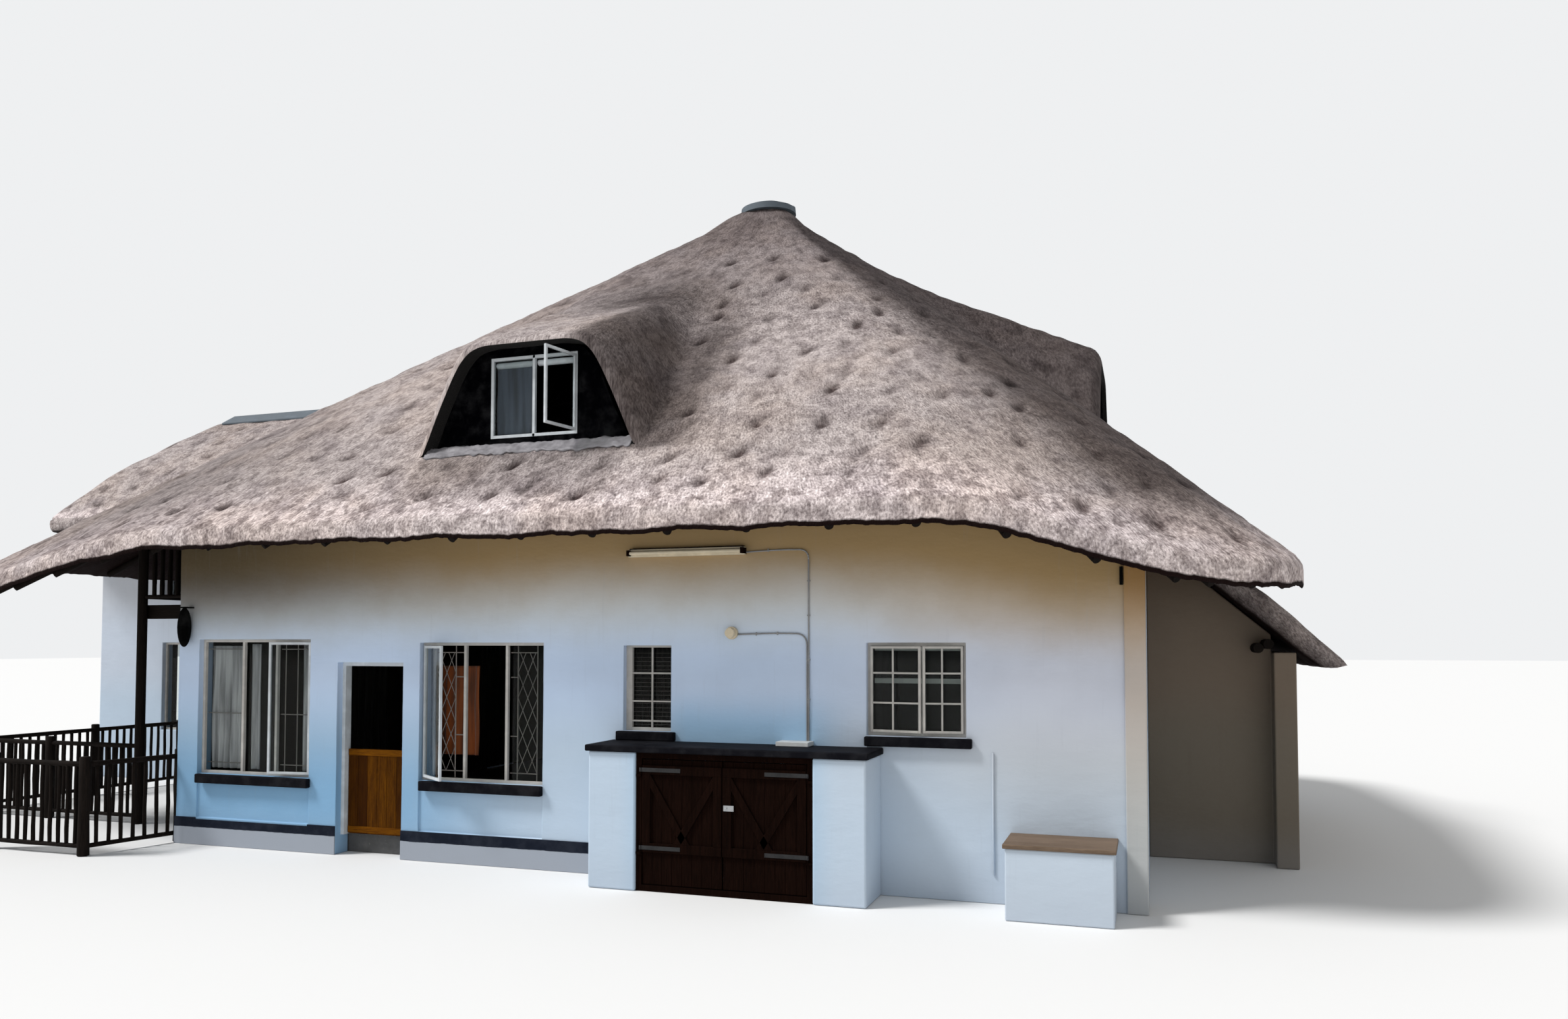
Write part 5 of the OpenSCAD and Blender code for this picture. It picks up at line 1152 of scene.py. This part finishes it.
def doorLeaf(name, node, z0, z1, hingeHeights, body, degrees=0):
    x0, x1, outer, inner, (hx, hy) = [door[key] for key in ("x0", "x1", "outer", "inner", "hinge")]
    step, rail = (x1 - x0) / door["boards"], 0.075
    turn = {"pivot": door["hinge"], "degrees": degrees}
    spans = [(x0 + k * step + 0.0015, x0 + (k + 1) * step - 0.0015, outer, inner, z0, z1)
             for k in range(door["boards"])]
    boards = boxPiece(name + "Boards", spans, "doorBoards", "varnished_wood", 0.003, body, **turn)
    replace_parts(boards, node)
    ledges = [(x0 + 0.004, x1 - 0.004, outer - 0.007, outer + 0.002, low, high)
              for low, high in ((z1 - rail, z1 - 0.001), (z0 + 0.012, z0 + 0.012 + rail))]
    boxPiece(name + "Rails", ledges, "varnishedAcross", "varnished_wood", 0.003, body, **turn)
    straps = [(hx - 0.3, hx - 0.006, inner, inner + 0.005, z - 0.01, z + 0.03) for z in hingeHeights]
    boxPiece(name + "Straps", straps, "blackIron", "grey_metal", 0.0015, body, **turn)
    eyes = [((hx, hy, z - 0.01), (hx, hy, z + 0.03)) for z in hingeHeights]
    makePiece(name + "Eyes", *rods(eyes, 0.011, sides=20), "blackIron", body)
    screws = [((hx - d, inner + 0.004, z + 0.01), (hx - d, inner + 0.008, z + 0.01))
              for z in hingeHeights for d in (0.06, 0.15, 0.25)]
    points, faces = rods(screws, 0.006, sides=10)
    heads = makePiece(name + "Screws", turned(points, door["hinge"], degrees), faces, "dullSteel", body)


makeWood("doorBoards", (0.022, 0.005, 0.0003), (0.20, 0.07, 0.002), 0.6, 2, (0, door["x0"], 0.136, 0.85), 0.04)
makeWood("varnishedAcross", (0.04, 0.0095, 0.0004), (0.19, 0.066, 0.002), 0.6, 0, shine=0.04)
doorLeaf("lowerLeaf", "stable_door_lower", door["low"], door["split"] - 0.007, (0.38, 1.07), "stable_leaf")
doorLeaf("upperLeaf", "stable_door_upper", door["split"], door["high"], (1.36, 2.06), "root", door["open"])

# Store doors: boards with two ledges, stiles and a pair of braces, hung on straps
store = {"x0": 0.612, "x1": 1.4695, "board": (-5.556, -5.526), "ledge": (-5.578, -5.556), "low": 0.068, "high": 1.312,
         "mid": 0.388, "top": 1.162, "wide": 0.09, "boards": 8, "centre": 1.475, "pin": (0.597, -5.583),
         "hinges": (0.423, 1.197)}
fromCad("store_door_frame", "brownStain", "brown_wood", 0.004)


def prisms(outline, y0, y1):
    # an outline of four corners in x and z, drawn out from y0 to y1
    near = np.array([(x, y0, z) for x, z in outline])
    far = near + (0, y1 - y0, 0)
    quads = [(0, 1, 2, 3), (7, 6, 5, 4)] + [((k + 1) % 4, k, k + 4, (k + 1) % 4 + 4) for k in range(4)]
    return np.concatenate([near, far]), np.array(quads)


def storeDoor(name, node, body, mirrored):
    s = store
    x0, x1, wide, ledge, mid, top = [s[key] for key in ("x0", "x1", "wide", "ledge", "mid", "top")]
    step, middle = (x1 - x0) / s["boards"], (x0 + x1) / 2
    spans = [(x0 + k * step + 0.001, x0 + (k + 1) * step - 0.001, *s["board"], s["low"], s["high"])
             for k in range(s["boards"])]
    frame = [(x0, x1, *ledge, mid, mid + wide), (x0, x1, *ledge, top, top + wide),
             (x0, x0 + wide, *ledge, mid + wide, top), (x1 - wide, x1, *ledge, mid + wide, top)]
    braces, quads = cuboids(frame)
    for outline in ([(x0 + wide, top), (x0 + wide, top - 0.13), (middle, mid + wide), (middle + wide, mid + wide)],
                    [(x1 - wide, top - 0.13), (x1 - wide, top), (middle - wide, mid + wide), (middle, mid + wide)]):
        more, sides = prisms(outline, ledge[0] + 0.0005, ledge[1])
        quads = np.concatenate([quads, sides + len(braces)])
        braces = np.concatenate([braces, more])
    (pinX, pinY), heights = s["pin"], s["hinges"]
    straps = cuboids([(pinX, x0 + 0.42, pinY, ledge[0], z - 0.01, z + 0.03) for z in heights])
    eyes = rods([((pinX, pinY, z - 0.01), (pinX, pinY, z + 0.03)) for z in heights], 0.011, sides=20)
    for suffix, (points, faces), finish, slot, bevel in (
            ("Boards", cuboids(spans), "brownStain", "brown_wood", 0.0025),
            ("Braces", (braces, quads), "brownStain", "brown_wood", 0.003),
            ("Straps", straps, "blackIron", "grey_metal", 0.0012), ("Eyes", eyes, "blackIron", "grey_metal", 0)):
        if mirrored:
            points, faces = points * (-1, 1, 1) + (2 * s["centre"], 0, 0), faces[:, ::-1]
        piece = makePiece(name + suffix, points, faces, finish, body, merge=0 if bevel else 1e-5, smooth=not bevel)
        if bevel:
            rounded(piece, bevel)
        if suffix == "Boards":
            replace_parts(piece, node)


storeDoor("leftStore", "store_door_left", "store_left_leaf", False)
storeDoor("rightStore", "store_door_right", "store_right_leaf", True)
hasp = [(1.492, 1.6, -5.583, -5.578, 0.835, 0.89), (1.50, 1.53, -5.592, -5.583, 0.852, 0.873)]
boxPiece("hasp", hasp, "dullSteel", "grey_metal", 0.0015, "store_right_leaf")
print("doors made")

# Front dormer's window: a fixed light with a rolled blind behind it, and a casement that stands open
dormer = {"left": -1.77, "mid": -1.2225, "right": -0.675, "bar": 0.035, "low": 4.84, "high": 5.78, "y": (-4.70, -4.66)}
bar, left, mid, right, low, high = [dormer[key] for key in ("bar", "left", "mid", "right", "low", "high")]
frameBars = [(x, x + bar, *dormer["y"], low, high) for x in (left, mid, right)]
frameBars += [(left + bar, right, *dormer["y"], z, z + bar) for z in (low, high - bar)]
dormerFrame = boxPiece("dormerFrame", frameBars, "whitePaint", "white_steel", 0.003)
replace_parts(dormerFrame, "front_dormer_window")
boxPiece("dormerPane", [(left + bar, mid, -4.682, -4.678, low + bar, high - bar)], "windowGlass", "clear_glass", 0.0005)
casement("dormerSash", right, -4.7003, low + bar, high - bar, 0.5125, 79, -1)
blind = [((x0, -4.635, 5.70), (x1, -4.635, 5.70))
         for x0, x1 in ((left + 0.045, mid - 0.01), (mid + 0.045, right - 0.01))]
rodPiece("dormerBlind", blind, 0.036, "whitePaint", sides=20)

# Flashing dressed over the thatch under each dormer
def flashing(name, hood, seed):
    u, v = np.meshgrid(np.linspace(-1.33, 1.33, 170), np.linspace(0, 1, 14), indexing="ij")
    edge = 0.235 + 0.014 * waves(u, 0 * u, seed, 0.7) + 0.008 * waves(u, 0 * u, seed + 1, 0.12)
    out = 0.004 + edge * v
    base = np.minimum(surfaceUnder(hood, u, -out), hood["foot"] - 0.01)
    lump = 0.012 * np.abs(waves(u, v, seed + 2, 0.5)) + 0.006 * waves(u, 3 * v, seed + 3, 0.16)
    up = 0.012 * (1 - ease(v / 0.12)) + 0.010 + lump
    return makePiece(name, hoodWorld(hood, u, -out, base + up), gridFaces(*u.shape), "lead", merge=0)


makeMetal("lead", (0.21, 0.2, 0.212), 0.6, 0.2)
for name, hood, seed in (("frontFlashing", hoods[0], 41), ("rightFlashing", hoods[1], 51)):
    strip = flashing(name, hood, seed)
    thickened(strip, 0.012, -1)
    if name == "frontFlashing":
        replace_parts(strip, "dormer_flashing")

# Fittings
fromCad("wall_lights", "creamPlastic", "white_plastic", 0.003, smooth=True)
# the dark end caps, and a thin dark strip along the top painted as the shadow gap over the lamp
capsAndShadowStrip = [(x, x + 0.034, -5.106, -5.0, 3.40, 3.462) for x in (0.186, 1.48)] + [(0.2, 1.5, -5.055, -5.0, 3.468, 3.482)]
boxPiece("stripLampCapsAndShadowStrip", capsAndShadowStrip, "brownStain", "white_plastic", 0.002)


def bent(path, radius, turn):
    # a run of tube through the given points, with each corner rounded by a short arc
    path = np.array(path, float)
    rounds = [path[:1]]
    for before, corner, after in zip(path[:-2], path[1:-1], path[2:]):
        p, q = [corner + turn * (end - corner) / np.linalg.norm(end - corner) for end in (before, after)]
        k = np.linspace(0, 1, 7)[:, None]
        rounds.append((1 - k) ** 2 * p + 2 * k * (1 - k) * corner + k ** 2 * q)
    line = np.concatenate(rounds + [path[-1:]])
    return list(zip(line[:-1], line[1:])), np.full(len(line) - 1, radius)


wallY, boxTop = -5.012, 1.46
runs = [bent([(2.19, wallY, boxTop), (2.192, wallY, 2.3), (2.19, wallY, 3.425), (1.9, wallY, 3.43),
              (1.515, wallY, 3.415)],
             0.0078, 0.1),
        bent([(2.173, wallY, boxTop), (2.173, wallY, 2.57), (1.8, wallY, 2.575), (1.42, wallY, 2.565)], 0.0078, 0.12),
        bent([(4.03, -5.0103, 0.27), (4.03, -5.0103, 1.43)], 0.01, 0.1)]
for name, finish, chosen in (("conduits", "conduitPaint", runs[:2]), ("downPipe", "limewash", runs[2:])):
    ends, sizes = [end for run, _ in chosen for end in run], np.concatenate([size for _, size in chosen])
    piece = rodPiece(name, ends, sizes, finish, sides=10)
    if name == "conduits":
        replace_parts(piece, "conduit_and_pipes")
boxPiece("conduitBox", [(1.90, 2.24, -5.2, -5.0, 1.446, 1.49)], "whitePlastic", "white_plastic", 0.004)
clips = [(2.174, 2.206, -5.018, -5.0, z, z + 0.012) for z in (1.9, 2.3, 2.75, 3.1)]
clips += [(x, x + 0.012, -5.018, -5.0, z - 0.016, z + 0.016) for x, z in ((1.75, 3.428), (1.62, 2.57), (1.85, 2.575))]
boxPiece("conduitClips", clips, "conduitPaint", "white_plastic", 0.002)
lantern = fromCad("wall_lantern", "lanternBlack", "creosoted_pole", 0.003, smooth=True)
spots = np.zeros(3 * len(lantern.data.vertices))
lantern.data.vertices.foreach_get("co", spots)
spots = spots.reshape(-1, 3)
lamp = spots[:, 0] < 0
middle = (spots[lamp, 0].min() + spots[lamp, 0].max()) / 2
spots[lamp, 0] = middle + 0.7 * (spots[lamp, 0] - middle)
lantern.data.vertices.foreach_set("co", spots.ravel())
fromCad("low_box_lid", "lidTimber", "varnished_wood", 0.006)
print("fittings made")

# Stage, light and camera
half = 160
mesh = bpy.data.meshes.new("studioFloor")
corners = ((-half, -half), (half, -half), (half, half), (-half, half))
mesh.from_pydata([(x, y, -0.002) for x, y in corners], [], [(0, 1, 2, 3)])
floorPiece = linked("studioFloor", mesh)
mesh.materials.append(Finish("studioFloor", **{"Base Color": studio["floor"], "Roughness": 0.9}).material)
world = bpy.data.worlds.new("studio")
bpy.context.scene.world = world
world.use_nodes = True
tree = world.node_tree
soft = tree.nodes["Background"]
soft.inputs["Color"].default_value = (0.97, 0.985, 1, 1)
soft.inputs["Strength"].default_value = studio["world"]
seen = tree.nodes.new("ShaderNodeBackground")
seen.inputs["Color"].default_value = (0.86, 0.87, 0.88, 1)
mixer = tree.nodes.new("ShaderNodeMixShader")
rays = tree.nodes.new("ShaderNodeLightPath")
tree.links.new(rays.outputs["Is Camera Ray"], mixer.inputs[0])
tree.links.new(soft.outputs[0], mixer.inputs[1])
tree.links.new(seen.outputs[0], mixer.inputs[2])
tree.links.new(mixer.outputs[0], tree.nodes["World Output"].inputs["Surface"])

for name, (strength, size, turn) in studio["suns"].items():
    lamp = bpy.data.lights.new(name, "SUN")
    lamp.energy, lamp.angle = strength, math.radians(size)
    linked(name, lamp).rotation_euler = Euler([math.radians(v) for v in turn])

eye = bpy.data.cameras.new("eye")
eye.sensor_width = 36
eye.lens = camera["focal"] / camera["imageWidth"] * 36
eye.shift_y = camera["horizonShift"] / camera["imageWidth"]
eye.clip_end = 500
viewer = linked("eye", eye)
viewer.location = camera["place"]
viewer.rotation_euler = Euler((math.radians(90 + camera["tiltUp"]), 0, math.radians(camera["turnLeft"])))
bpy.context.scene.camera = viewer
bpy.context.scene.view_settings.view_transform = "Standard"

print("done")
